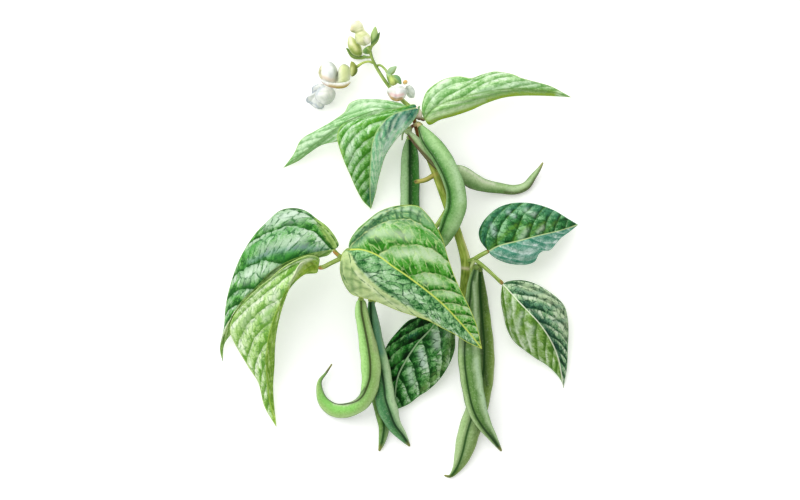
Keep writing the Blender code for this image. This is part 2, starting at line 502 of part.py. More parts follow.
def blade(name, plan, finish, rows, columns):
    """A thin leaf blade or petal: each row runs from the left edge over the midrib to the right edge."""
    base, tip = plan["midrib"][0], plan["midrib"][-1]
    along = np.linspace(0, 1, rows + 1)
    roots = smooth_line(plan["midrib"], along**VEIN_SWEEP)
    ahead = smooth_line(plan["midrib"], np.minimum(along**VEIN_SWEEP + 0.02, 1)) - roots
    ahead[-1] = ahead[-2]
    halves = []
    for side, dome in zip(("left", "right"), plan["dome"], strict=True):
        edge = smooth_line([base, *plan[side], tip], along)
        half = []
        for out in np.arange(1, columns + 1) / columns:
            line = roots + (edge - roots) * out
            reach = np.linalg.norm((edge - roots)[:, :2], axis=1, keepdims=True)
            heading = ahead[:, :2] / np.linalg.norm(ahead[:, :2], axis=1, keepdims=True)
            line[:, :2] -= VEIN_BOW * reach * heading * 4 * out * (1 - out)
            line[:, 2] += (dome * reach * 4 * out * (1 - out))[:, 0]
            half.append(line)
        halves.append(half)
    across = [*reversed(halves[0]), roots, *halves[1]]
    width = len(across)
    points = [base, *[line[row] for row in range(1, rows) for line in across], tip]
    end = len(points) - 1

    def index(row, column):
        return 0 if row == 0 else end if row == rows else 1 + (row - 1) * width + column

    faces = []
    for row in range(rows):
        for column in range(width - 1):
            a, b = index(row, column), index(row, column + 1)
            c, d = index(row + 1, column + 1), index(row + 1, column)
            left_half = column < width // 2
            pairs = ((a, b, c), (a, c, d)) if left_half else ((a, b, d), (b, c, d))
            faces += [face for face in pairs if len(set(face)) == 3]
    piece = add_mesh(name, points, faces, finish)
    solid = piece.modifiers.new("thickness", "SOLIDIFY")
    solid.thickness = BLADE_THICKNESS * MM
    solid.offset = -1.0
    return piece


def tube(name, line, sides, rings, finish, flatness=1.0, seam=None):
    """A closed tube along a line with radii, never lower than the table. Its ends are rounded off."""
    places = np.linspace(0, 1, rings)
    middle = smooth_line(line, places)
    heading = np.gradient(middle[:, :3], axis=0)
    heading /= np.linalg.norm(heading, axis=1, keepdims=True)
    sideways = np.cross(heading, (0.0, 0.0, 1.0))
    sideways /= np.linalg.norm(sideways, axis=1, keepdims=True)
    upwards = np.cross(sideways, heading)
    seams = None if seam is None else np.radians(np.interp(places, np.linspace(0, 1, len(seam)), seam))
    points = []
    for ring in range(rings):
        radius = middle[ring, 3] * (0.6 if ring in (0, rings - 1) else 1.0)
        for angle in np.arange(sides) * 2 * np.pi / sides:
            reach = radius
            if seams is not None:
                off = (angle - seams[ring] + np.pi) % (2 * np.pi) - np.pi
                reach *= 1 - SEAM_DEPTH * np.exp(-((off / SEAM_SPREAD) ** 2))
            point = middle[ring, :3] + reach * (
                np.cos(angle) * sideways[ring] + flatness * np.sin(angle) * upwards[ring]
            )
            points.append((point[0], point[1], max(point[2], 0.0)))
    faces = []
    for ring in range(rings - 1):
        for side in range(sides):
            near, far = side, (side + 1) % sides
            faces.append(
                (ring * sides + near, (ring + 1) * sides + near, (ring + 1) * sides + far, ring * sides + far)
            )
    faces.append(tuple(range(sides)))
    faces.append(tuple(reversed(range((rings - 1) * sides, rings * sides))))
    return add_mesh(name, points, faces, finish)


def rings_for(line):
    """How many rings a stalk needs: more where it is long."""
    length = np.linalg.norm(np.diff(np.array(line)[:, :3], axis=0), axis=1).sum()
    return int(min(26, max(6, round(length / 5))))


def grow_together(name, tubes):
    """The one closed solid that these tubes make together."""
    first, rest = tubes[0], tubes[1:]
    group = bpy.data.collections.new(name)
    for piece in rest:
        group.objects.link(piece)
    union = first.modifiers.new("union", "BOOLEAN")
    union.operation = "UNION"
    union.solver = "EXACT"
    union.operand_type = "COLLECTION"
    union.collection = group
    solid = bpy.data.meshes.new_from_object(first.evaluated_get(bpy.context.evaluated_depsgraph_get()))
    for piece in [*tubes]:
        bpy.data.objects.remove(piece)
    bpy.data.collections.remove(group)
    solid.shade_smooth()
    piece = bpy.data.objects.new(name, solid)
    bpy.context.scene.collection.objects.link(piece)
    return piece


def build():
    for old in list(bpy.data.objects):
        bpy.data.objects.remove(old)
    for name, plan in STALKS.items():
        tubes = [
            tube(f"{name}_{kind}_{number}", line, STALK_SIDES, rings_for(line), plan["material"], flatness)
            for kind, flatness in (("round", 1.0), ("flat", 0.4))
            for number, line in enumerate(plan.get(kind, []))
        ]
        grow_together(name, tubes)
    for name, plan in LEAFLETS.items():
        blade(name, plan, plan["material"], BLADE_ROWS, BLADE_COLUMNS)
    for name, plan in PODS.items():
        tube(name, plan["line"], POD_SIDES, POD_RINGS, plan["material"], POD_FLATNESS, plan["seam"])
    for name, line in BUDS.items():
        tube(name, line, STALK_SIDES, 10, "petal_cream")
    for name, plan in PETALS.items():
        blade(name, plan, "petal_white", PETAL_ROWS, PETAL_COLUMNS)


build()
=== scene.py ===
"""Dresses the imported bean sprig: leaflets with their net of veins, pods with their seams, stalks, flowers.

The layout is that of the part's source: millimetres, x right, y towards the flowers, z over the table.
Lines run from base to tip, from neck to beak or from stem to leaf, and a fourth number of a point is the
radius there. Left and right are those of someone who walks along the line."""

import bpy
import numpy as np
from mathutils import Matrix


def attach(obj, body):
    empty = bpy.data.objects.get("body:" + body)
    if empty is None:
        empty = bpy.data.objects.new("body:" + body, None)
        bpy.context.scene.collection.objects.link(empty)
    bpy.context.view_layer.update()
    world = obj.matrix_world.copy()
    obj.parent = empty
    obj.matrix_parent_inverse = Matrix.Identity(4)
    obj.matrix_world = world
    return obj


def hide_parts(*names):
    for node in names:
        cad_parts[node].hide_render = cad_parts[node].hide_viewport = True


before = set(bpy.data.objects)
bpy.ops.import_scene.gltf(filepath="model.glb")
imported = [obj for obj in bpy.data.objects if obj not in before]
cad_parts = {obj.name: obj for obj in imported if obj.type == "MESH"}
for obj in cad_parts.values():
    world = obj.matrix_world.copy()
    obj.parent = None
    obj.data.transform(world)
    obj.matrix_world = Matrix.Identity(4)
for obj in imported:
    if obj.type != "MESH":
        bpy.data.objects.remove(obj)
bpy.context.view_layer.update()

MM = 0.001
# The place in the layout that is the part's origin.
MIDDLE = (-0.5, 1.0)
# The ribs of a blade stand closer together near its base, and bow towards it by this share of their length.
VEIN_SWEEP = 1.7
VEIN_BOW = 0.06
# The height of a pod and of a bract, by their width.
POD_FLATNESS = 0.86
BRACT_FLATNESS = 0.4
LEAF_THICKNESS = 0.45
PETAL_THICKNESS = 0.3
# No pod, stalk or bud reaches lower than this over the table.
LOWEST = 0.02

# How fine the surfaces are: rows from base to tip and columns from midrib to edge for a blade, sides and
# rings for a tube, with so many rings to the millimetre on a stalk, and steps between two points of a line.
LEAF_ROWS = 150
LEAF_COLUMNS = 36
PETAL_ROWS = 48
PETAL_COLUMNS = 18
POD_SIDES = 64
POD_RINGS = 170
BUD_SIDES = 32
BUD_RINGS = 40
STALK_SIDES = 20
STALK_RINGS = 1.5
FEWEST_RINGS = 14
CURVE_STEPS = 24

# The skin bulges between side veins by this much, and falls to them over the valley's share of their gap.
VEIN_RELIEF = 0.9
VEIN_VALLEY = 0.22
MIDRIB_VALLEY = 1.3

# The height and the number of the waves in a petal's edge. A pod swells over each of its evenly spaced
# seeds and has a groove along its seam, both by a share of its radius. The groove's width is in radians.
PETAL_WAVE = 0.5
PETAL_WAVES = 3
SEED_GAP = 13.0
SEED_SWELL = 0.02
GROOVE_DEPTH = 0.1
GROOVE_WIDTH = 0.2

# A stalk that starts within this reach of the stem's skin grows into the stem. One that ends near a leaflet
# carries it on a swollen joint, and one that ends near a pod holds it in a small cup.
STEM_REACH = 2.2
JOINT_REACH = 3.5
JOINT_RADIUS = 1.25
JOINT_END_RADIUS = 0.9
CUP_REACH = 4.0
CUP_DEPTH = 1.6
CUP_RADIUS = 1.9
CUP_LIP = 0.5

# Sizes of the patterns in the skins, in millimetres. A leaf's real net is 0.5 mm fine and its grain finer,
# so both are drawn coarser to show, and so are the specks of a pod and the haze of a petal.
VEIN_WAVER = 9.0
VEINLET_BEND = 2.94
VEINLET_GAP = 2.78
PATCH_WIDTH = 7.7
NET_WIDTH = 1.67
GRAIN_WIDTH = 1.05
POD_CLOUD = 8.3
POD_SPECK = 1.25
PETAL_CLOUD = 3.3

# How far the pod's shades sway round it with the cloud, in radians.
POD_SWAY = 0.9
# A bud has no edge near, so the greyer rim of a petal stays off it.
FAR_FROM_EDGE = 9.0

# The whole picture is 0.48 m wide, measured at the middle height of the sprig.
VIEW_WIDTH = 0.48
VIEW_LEVEL = 0.022
CAMERA_HEIGHT = 6.0
SENSOR_WIDTH = 36
# The lamp's width in the sky and its tilt are in degrees. The floor, a square, lies just under the part.
KEY_STRENGTH = 2.4
KEY_WIDTH = 70
KEY_TILT = (-34, -30)
SKY_STRENGTH = 0.6
FLOOR_GLOW = 0.3
FLOOR_REACH = 3.0
FLOOR_DROP = 0.0002

# The stem from its top to its cut end, and the stub on its left side.
STEM = [
    (8.1, 79.8, 18.0, 1.2), (11.4, 68.4, 17.0, 1.5), (18.0, 54.0, 15.5, 2.0), (24.0, 39.0, 14.5, 2.4),
    (30.0, 22.8, 13.0, 2.7), (36.0, 6.0, 12.5, 2.6), (39.6, -8.4, 12.0, 3.1), (38.6, -20.0, 9.5, 2.5),
    (37.4, -34.0, 5.0, 2.4), (36.6, -45.6, 2.4, 2.4),
]
STEM_STUB = [(22.8, 46.8, 15.0, 1.6), (15.5, 42.2, 14.6, 1.5), (8.4, 40.8, 14.2, 1.2)]
# The upper leaf's own petiole, beside the base of its front leaflet.
PETIOLE = [
    (11.2, 78.2, 21.5, 1.3), (11.6, 80.2, 23.2, 1.75), (11.5, 82.4, 25.4, 1.65), (10.6, 84.8, 28.0, 1.1),
]

# For each leaflet, its midrib and the two halves of its outline. "dome" lifts the middle of each half, by a
# share of its width.
LEAFLETS = {
    "leaflet_top_back": {
        "material": "leaf_light_green",
        "midrib": [
            (5.4, 85.5, 26.5), (-12.0, 84.3, 28.5), (-22.8, 81.0, 26.5), (-33.0, 76.5, 22.0),
            (-43.2, 69.6, 16.5), (-52.8, 62.4, 11.0), (-61.8, 55.8, 6.0), (-70.5, 49.2, 2.0),
        ],
        "left": [
            (3.0, 79.0, 25.5), (-6.0, 75.0, 24.5), (-16.0, 71.0, 22.5), (-26.0, 67.5, 19.5),
            (-37.4, 65.1, 15.5), (-47.0, 63.0, 11.5), (-54.6, 58.2, 8.0), (-61.4, 53.4, 4.5),
        ],
        "right": [
            (1.2, 87.8, 25.0), (-9.0, 90.0, 24.5), (-18.8, 90.6, 22.5), (-25.8, 90.2, 20.5),
            (-30.6, 87.8, 19.0), (-33.2, 83.0, 19.0), (-39.6, 78.2, 16.5), (-50.4, 72.0, 11.5),
            (-59.4, 66.6, 8.0), (-64.2, 57.6, 5.0),
        ],
        "dome": (0.05, 0.05),
    },
    "leaflet_top_front": {
        "material": "leaf_mid_green",
        "midrib": [
            (9.9, 85.2, 30.5), (1.8, 83.4, 35.5), (-4.2, 81.0, 38.0), (-9.0, 77.4, 39.0),
            (-13.2, 72.0, 38.5), (-16.2, 64.8, 35.0), (-17.4, 55.2, 28.5), (-18.0, 45.0, 20.0),
            (-18.0, 34.8, 10.5), (-17.4, 24.6, 2.0),
        ],
        "left": [
            (12.0, 86.5, 29.5), (10.8, 82.0, 29.5), (6.6, 75.6, 30.0), (1.2, 69.9, 30.0),
            (-3.6, 64.4, 28.5), (-8.4, 57.0, 25.5), (-11.4, 48.0, 20.0), (-13.2, 41.0, 14.5),
            (-14.6, 34.2, 8.5),
        ],
        "right": [
            (9.0, 87.2, 30.5), (-2.4, 84.6, 33.5), (-16.2, 81.0, 32.0), (-26.4, 78.2, 30.0),
            (-33.9, 75.6, 27.5), (-37.0, 71.5, 26.0), (-37.8, 67.2, 25.0), (-36.6, 61.8, 24.0),
            (-33.2, 52.2, 20.5), (-30.0, 45.0, 16.5), (-26.4, 36.8, 10.5), (-22.2, 29.4, 5.0),
        ],
        "dome": (0.12, 0.08),
    },
    "leaflet_top_right": {
        "material": "leaf_light_green",
        "midrib": [
            (14.7, 78.6, 23.0), (19.8, 84.6, 26.0), (26.4, 88.2, 28.5), (36.6, 91.2, 31.0),
            (51.0, 94.8, 31.5), (61.8, 96.3, 29.0), (72.6, 96.6, 24.0), (82.8, 96.0, 18.0),
            (92.0, 94.8, 11.5), (103.5, 91.8, 3.0),
        ],
        "left": [
            (13.1, 82.8, 22.5), (13.8, 90.0, 23.0), (16.0, 95.1, 24.0), (21.0, 99.6, 25.5),
            (26.9, 102.7, 27.0), (34.8, 104.2, 27.5), (42.9, 103.2, 29.5), (49.2, 105.3, 27.5),
            (56.7, 107.1, 25.5), (68.4, 105.3, 22.5), (72.6, 103.4, 22.0), (82.2, 100.9, 17.0),
            (90.9, 98.4, 11.5),
        ],
        "right": [
            (17.4, 75.0, 21.5), (24.0, 78.0, 22.5), (32.7, 80.4, 24.0), (43.6, 84.2, 25.0),
            (50.9, 87.6, 25.5), (61.8, 91.2, 24.0), (72.6, 92.5, 19.0), (90.9, 92.5, 9.0),
        ],
        "dome": (0.08, 0.1),
    },
    "leaflet_left_back": {
        "material": "leaf_mid_green",
        "midrib": [
            (-39.6, 0.0, 44.5), (-52.8, -2.4, 49.0), (-64.2, -6.0, 49.0), (-75.6, -12.0, 45.5),
            (-85.2, -21.6, 38.0), (-94.8, -30.6, 28.5), (-101.4, -40.2, 19.0), (-106.2, -50.0, 11.0),
            (-108.0, -59.0, 4.5), (-106.8, -67.2, 1.5),
        ],
        "left": [
            (-43.0, -3.2, 42.5), (-49.0, -5.0, 42.0), (-57.0, -11.0, 37.5), (-66.0, -18.0, 33.5),
            (-77.0, -26.5, 27.0), (-88.0, -37.0, 19.0), (-98.4, -47.4, 11.0), (-105.6, -56.6, 5.0),
        ],
        "right": [
            (-36.6, 2.6, 43.5), (-37.6, 6.0, 42.5), (-43.0, 13.6, 41.0), (-49.8, 18.8, 39.0),
            (-56.6, 23.6, 37.0), (-64.2, 25.2, 35.5), (-72.0, 23.6, 34.5), (-78.6, 18.0, 34.0),
            (-86.4, 10.2, 32.0), (-93.0, 0.6, 28.0), (-97.8, -9.0, 24.0), (-102.6, -23.4, 17.0),
            (-105.0, -34.8, 12.0), (-105.9, -46.2, 8.0), (-108.4, -59.7, 3.2),
        ],
        "dome": (0.0, 0.12),
    },
    "leaflet_left_front": {
        "material": "leaf_light_green",
        "midrib": [
            (-49.0, -10.6, 39.5), (-52.8, -6.0, 46.0), (-58.8, -7.8, 51.0), (-63.6, -16.2, 52.0),
            (-69.6, -27.6, 48.5), (-75.0, -39.6, 41.5), (-78.6, -51.6, 33.0), (-80.4, -64.8, 23.5),
            (-79.8, -79.2, 13.5), (-78.0, -93.0, 5.5), (-74.4, -106.8, 1.5),
        ],
        "left": [
            (-49.5, -13.6, 37.5), (-57.0, -14.8, 39.5), (-63.6, -19.6, 41.0), (-69.0, -27.0, 40.5),
            (-72.6, -36.6, 36.5), (-75.0, -54.0, 25.5), (-75.2, -67.2, 17.5), (-76.2, -84.0, 8.0),
        ],
        "right": [
            (-48.2, -5.0, 45.0), (-55.0, -3.4, 52.0), (-69.0, -10.0, 51.5), (-77.6, -17.4, 47.0),
            (-85.2, -23.4, 42.0), (-94.8, -33.0, 32.5), (-101.4, -43.2, 24.0), (-101.8, -50.0, 20.5),
            (-91.2, -70.2, 14.0), (-85.2, -79.8, 11.0), (-81.6, -94.2, 4.5),
        ],
        "dome": (0.0, 0.04),
    },
    "leaflet_centre": {
        "material": "leaf_mid_green",
        "midrib": [
            (-30.6, 0.3, 45.5), (-22.8, 0.2, 48.5), (-13.8, -3.0, 50.5), (-4.5, -9.6, 51.5),
            (4.8, -15.9, 51.0), (15.6, -24.0, 48.5), (25.0, -31.8, 45.0), (34.8, -42.0, 40.0),
            (43.0, -51.4, 35.0), (49.2, -59.4, 30.0),
        ],
        "left": [
            (-30.2, 5.2, 44.5), (-25.8, 12.2, 43.5), (-19.8, 17.6, 42.5), (-12.6, 23.0, 41.0),
            (-4.5, 26.0, 40.0), (4.8, 27.0, 39.5), (11.4, 26.0, 39.5), (16.8, 21.0, 40.0),
            (21.6, 14.4, 40.5), (25.6, 6.2, 41.5), (28.8, -4.5, 41.5), (32.4, -15.0, 41.0),
            (37.0, -25.2, 39.5), (41.7, -34.6, 37.5), (46.2, -46.0, 34.0),
        ],
        "right": [
            (-33.8, -1.0, 43.5), (-36.0, -9.0, 40.0), (-35.6, -15.0, 37.5), (-33.3, -21.0, 36.0),
            (-29.4, -26.2, 35.0), (-25.2, -28.0, 35.0), (-15.2, -30.6, 37.0), (-0.6, -36.6, 38.5),
            (10.2, -40.0, 39.5), (18.0, -42.8, 39.5), (25.0, -46.7, 38.0), (31.8, -50.0, 36.0),
            (40.0, -55.2, 32.5),
        ],
        "dome": (0.12, 0.16),
    },
    "leaflet_right_upper": {
        "material": "leaf_blue_green",
        "midrib": [
            (53.3, -0.6, 22.5), (59.2, 2.4, 26.0), (70.8, 5.4, 28.5), (83.4, 8.7, 26.5),
            (96.0, 11.6, 18.5), (107.2, 15.2, 9.0),
        ],
        "left": [
            (51.0, 1.6, 21.5), (48.0, 6.0, 20.5), (47.2, 10.8, 19.5), (49.1, 15.9, 18.5),
            (54.0, 21.8, 17.0), (60.0, 26.0, 16.0), (67.6, 28.2, 15.5), (77.8, 28.3, 15.0),
            (86.2, 26.4, 14.0), (93.6, 23.4, 12.0), (100.5, 19.2, 10.5),
        ],
        "right": [
            (54.0, -2.4, 21.5), (59.2, -6.0, 20.0), (66.6, -8.4, 18.5), (76.0, -8.8, 17.5),
            (81.0, -6.9, 18.5), (83.4, -2.4, 21.0), (85.6, -0.8, 20.5), (90.4, 0.0, 16.5),
            (93.3, 3.2, 16.0), (96.4, 6.8, 14.0), (102.6, 11.4, 10.0),
        ],
        "dome": (0.1, 0.08),
    },
    "leaflet_right_lower": {
        "material": "leaf_blue_green",
        "midrib": [
            (61.7, -20.4, 18.5), (70.8, -30.5, 24.0), (77.8, -37.8, 25.5), (83.4, -43.8, 24.0),
            (90.4, -54.0, 18.5), (95.4, -66.0, 10.5), (98.4, -83.4, 1.5),
        ],
        "left": [
            (64.6, -18.8, 18.0), (72.6, -18.0, 17.0), (80.3, -19.8, 15.5), (87.8, -23.7, 14.0),
            (94.6, -28.8, 12.5), (98.8, -33.6, 11.5), (100.8, -40.6, 10.5), (101.4, -49.0, 8.5),
            (101.0, -59.1, 6.0), (100.6, -70.1, 4.0),
        ],
        "right": [
            (61.2, -22.0, 17.5), (60.5, -29.4, 15.0), (61.8, -37.8, 13.0), (64.2, -47.4, 11.5),
            (68.4, -54.9, 10.5), (74.4, -60.0, 9.5), (81.0, -64.8, 8.0), (87.8, -69.0, 6.0),
            (93.6, -74.3, 4.0), (97.2, -79.2, 2.2),
        ],
        "dome": (0.1, 0.1),
    },
    "leaflet_low_centre": {
        "material": "leaf_dark_green",
        "midrib": [
            (31.2, -32.4, 17.0), (24.0, -40.0, 18.0), (18.0, -48.0, 17.0), (10.2, -56.4, 14.5),
            (2.4, -68.4, 10.5), (-1.4, -76.8, 8.0), (-3.9, -96.6, 3.0),
        ],
        "left": [
            (32.6, -36.0, 16.0), (33.6, -44.0, 14.5), (33.2, -51.6, 13.5), (33.0, -59.1, 12.0),
            (30.6, -66.6, 10.5), (24.6, -76.8, 8.5), (17.0, -84.4, 6.5), (12.0, -87.6, 5.5),
            (4.8, -93.0, 4.0),
        ],
        "right": [
            (29.0, -31.4, 16.5), (20.0, -34.0, 15.0), (10.8, -40.0, 13.0), (4.8, -42.6, 12.0),
            (-1.8, -49.2, 10.0), (-6.6, -55.2, 8.5), (-9.2, -60.6, 7.5), (-9.4, -66.0, 7.0),
            (-8.2, -76.0, 5.5), (-6.6, -88.0, 3.5),
        ],
        "dome": (0.06, 0.06),
    },
}

# For each pod, its line, and where its seam runs round it in degrees, at even steps from neck to beak: 0 is
# its right side and 90 the top. The hooked pod's seam turns to the inside of the curve.
PODS = {
    "pod_upper_thick": {
        "material": "pod_green",
        "seam": [40, 42, 45, 48, 35],
        "line": [
            (11.8, 74.8, 23.2, 1.4), (16.8, 66.6, 27.5, 4.8), (24.0, 57.0, 31.0, 5.9),
            (29.4, 46.8, 32.0, 5.9), (33.3, 36.0, 30.5, 6.0), (33.6, 25.8, 28.0, 6.3),
            (30.9, 17.4, 25.0, 6.0), (27.6, 10.2, 22.0, 5.2), (22.8, 1.8, 17.5, 3.4),
            (16.8, -7.8, 12.5, 0.6),
        ],
    },
    "pod_upper_curved": {
        "material": "pod_olive",
        "seam": [20, 20, 5, -25, -25],
        "line": [
            (4.4, 71.2, 21.8, 1.3), (9.0, 66.3, 22.4, 2.5), (15.0, 59.4, 22.6, 2.9),
            (21.6, 52.2, 21.5, 3.0), (29.4, 48.0, 20.0, 3.6), (36.6, 46.2, 17.5, 4.6),
            (43.8, 41.4, 13.0, 5.0), (51.0, 38.7, 8.0, 4.0), (60.0, 37.2, 3.4, 3.3),
            (69.0, 36.3, 2.0, 2.9), (75.6, 38.4, 2.1, 2.6), (80.4, 44.4, 4.2, 1.9),
            (84.0, 49.2, 5.8, 1.1), (86.1, 52.8, 7.0, 0.5),
        ],
    },
    "pod_upper_back": {
        "material": "pod_green",
        "seam": [90, 90],
        "line": [
            (5.7, 67.8, 12.5, 1.5), (6.0, 60.0, 8.5, 4.6), (6.0, 48.0, 5.2, 5.6), (6.0, 37.2, 4.3, 5.8),
            (6.0, 26.4, 4.1, 5.7), (6.6, 6.0, 4.0, 5.5), (7.8, -12.0, 3.5, 4.6), (9.0, -25.2, 2.0, 0.6),
        ],
    },
    "pod_left_hooked": {
        "material": "pod_bright_green",
        "seam": [92, 92, 90, 84, 52, 24, 12, 8, 5],
        "line": [
            (-23.4, -29.4, 29.0, 2.7), (-23.1, -37.2, 28.5, 4.0), (-21.6, -45.0, 28.0, 4.3),
            (-19.2, -57.0, 27.5, 5.4), (-17.4, -69.6, 26.0, 6.0), (-18.0, -81.6, 21.5, 5.2),
            (-20.4, -88.8, 17.0, 4.5), (-24.6, -93.3, 12.5, 4.3), (-33.0, -96.6, 6.0, 4.4),
            (-40.2, -96.0, 3.1, 4.2), (-45.6, -91.8, 2.6, 3.4), (-48.0, -86.4, 3.4, 2.4),
            (-48.3, -79.2, 4.2, 1.3), (-44.4, -73.8, 5.0, 0.7), (-40.8, -68.4, 6.0, 0.5),
        ],
    },
    "pod_left_middle": {
        "material": "pod_dark_green",
        "seam": [75, 80, 95, 100],
        "line": [
            (-17.4, -30.0, 20.5, 1.6), (-16.2, -45.0, 18.5, 4.2), (-14.4, -57.0, 17.0, 4.8),
            (-11.4, -69.0, 15.5, 5.1), (-9.6, -81.0, 14.8, 5.4), (-9.0, -89.4, 14.6, 6.0),
            (-6.9, -96.6, 13.5, 5.9), (-3.6, -105.0, 10.0, 4.4), (1.2, -111.6, 6.0, 3.0),
            (6.0, -118.2, 2.5, 0.6),
        ],
    },
    "pod_left_back": {
        "material": "pod_olive",
        "seam": [90, 90],
        "line": [
            (-16.8, -33.0, 12.0, 1.5), (-16.2, -54.0, 7.0, 3.9), (-15.0, -75.0, 3.4, 4.5),
            (-13.2, -88.8, 3.0, 4.2), (-10.8, -99.0, 2.8, 3.9), (-9.6, -106.8, 2.5, 3.3),
            (-10.8, -115.2, 2.0, 2.1), (-12.6, -121.2, 1.8, 0.6),
        ],
    },
    "pod_lower_front": {
        "material": "pod_green",
        "seam": [75, 68, 62, 65, 85],
        "line": [
            (45.7, -11.0, 22.9, 1.6), (43.8, -19.2, 24.0, 3.0), (43.2, -30.0, 23.5, 4.2),
            (42.6, -42.0, 22.0, 5.4), (41.4, -60.0, 20.0, 6.7), (43.2, -79.8, 18.4, 6.6),
            (46.2, -94.8, 17.2, 6.0), (50.4, -104.4, 13.8, 4.5), (55.8, -112.8, 7.5, 2.7),
            (61.2, -121.2, 2.3, 0.6),
        ],
    },
    "pod_lower_back": {
        "material": "pod_olive",
        "seam": [90, 88, 78, 90],
        "line": [
            (47.9, -11.8, 12.7, 1.6), (48.2, -25.2, 9.0, 3.9), (49.8, -43.8, 5.6, 5.1),
            (51.0, -60.0, 4.3, 5.7), (50.7, -72.6, 4.4, 6.0), (48.6, -85.8, 4.6, 6.3),
            (45.6, -97.2, 4.8, 6.6), (41.4, -109.8, 4.8, 6.6), (37.8, -123.0, 3.6, 5.2),
            (34.2, -131.4, 2.2, 2.7), (30.0, -136.2, 1.6, 1.0), (26.4, -135.6, 2.2, 0.5),
        ],
    },
}

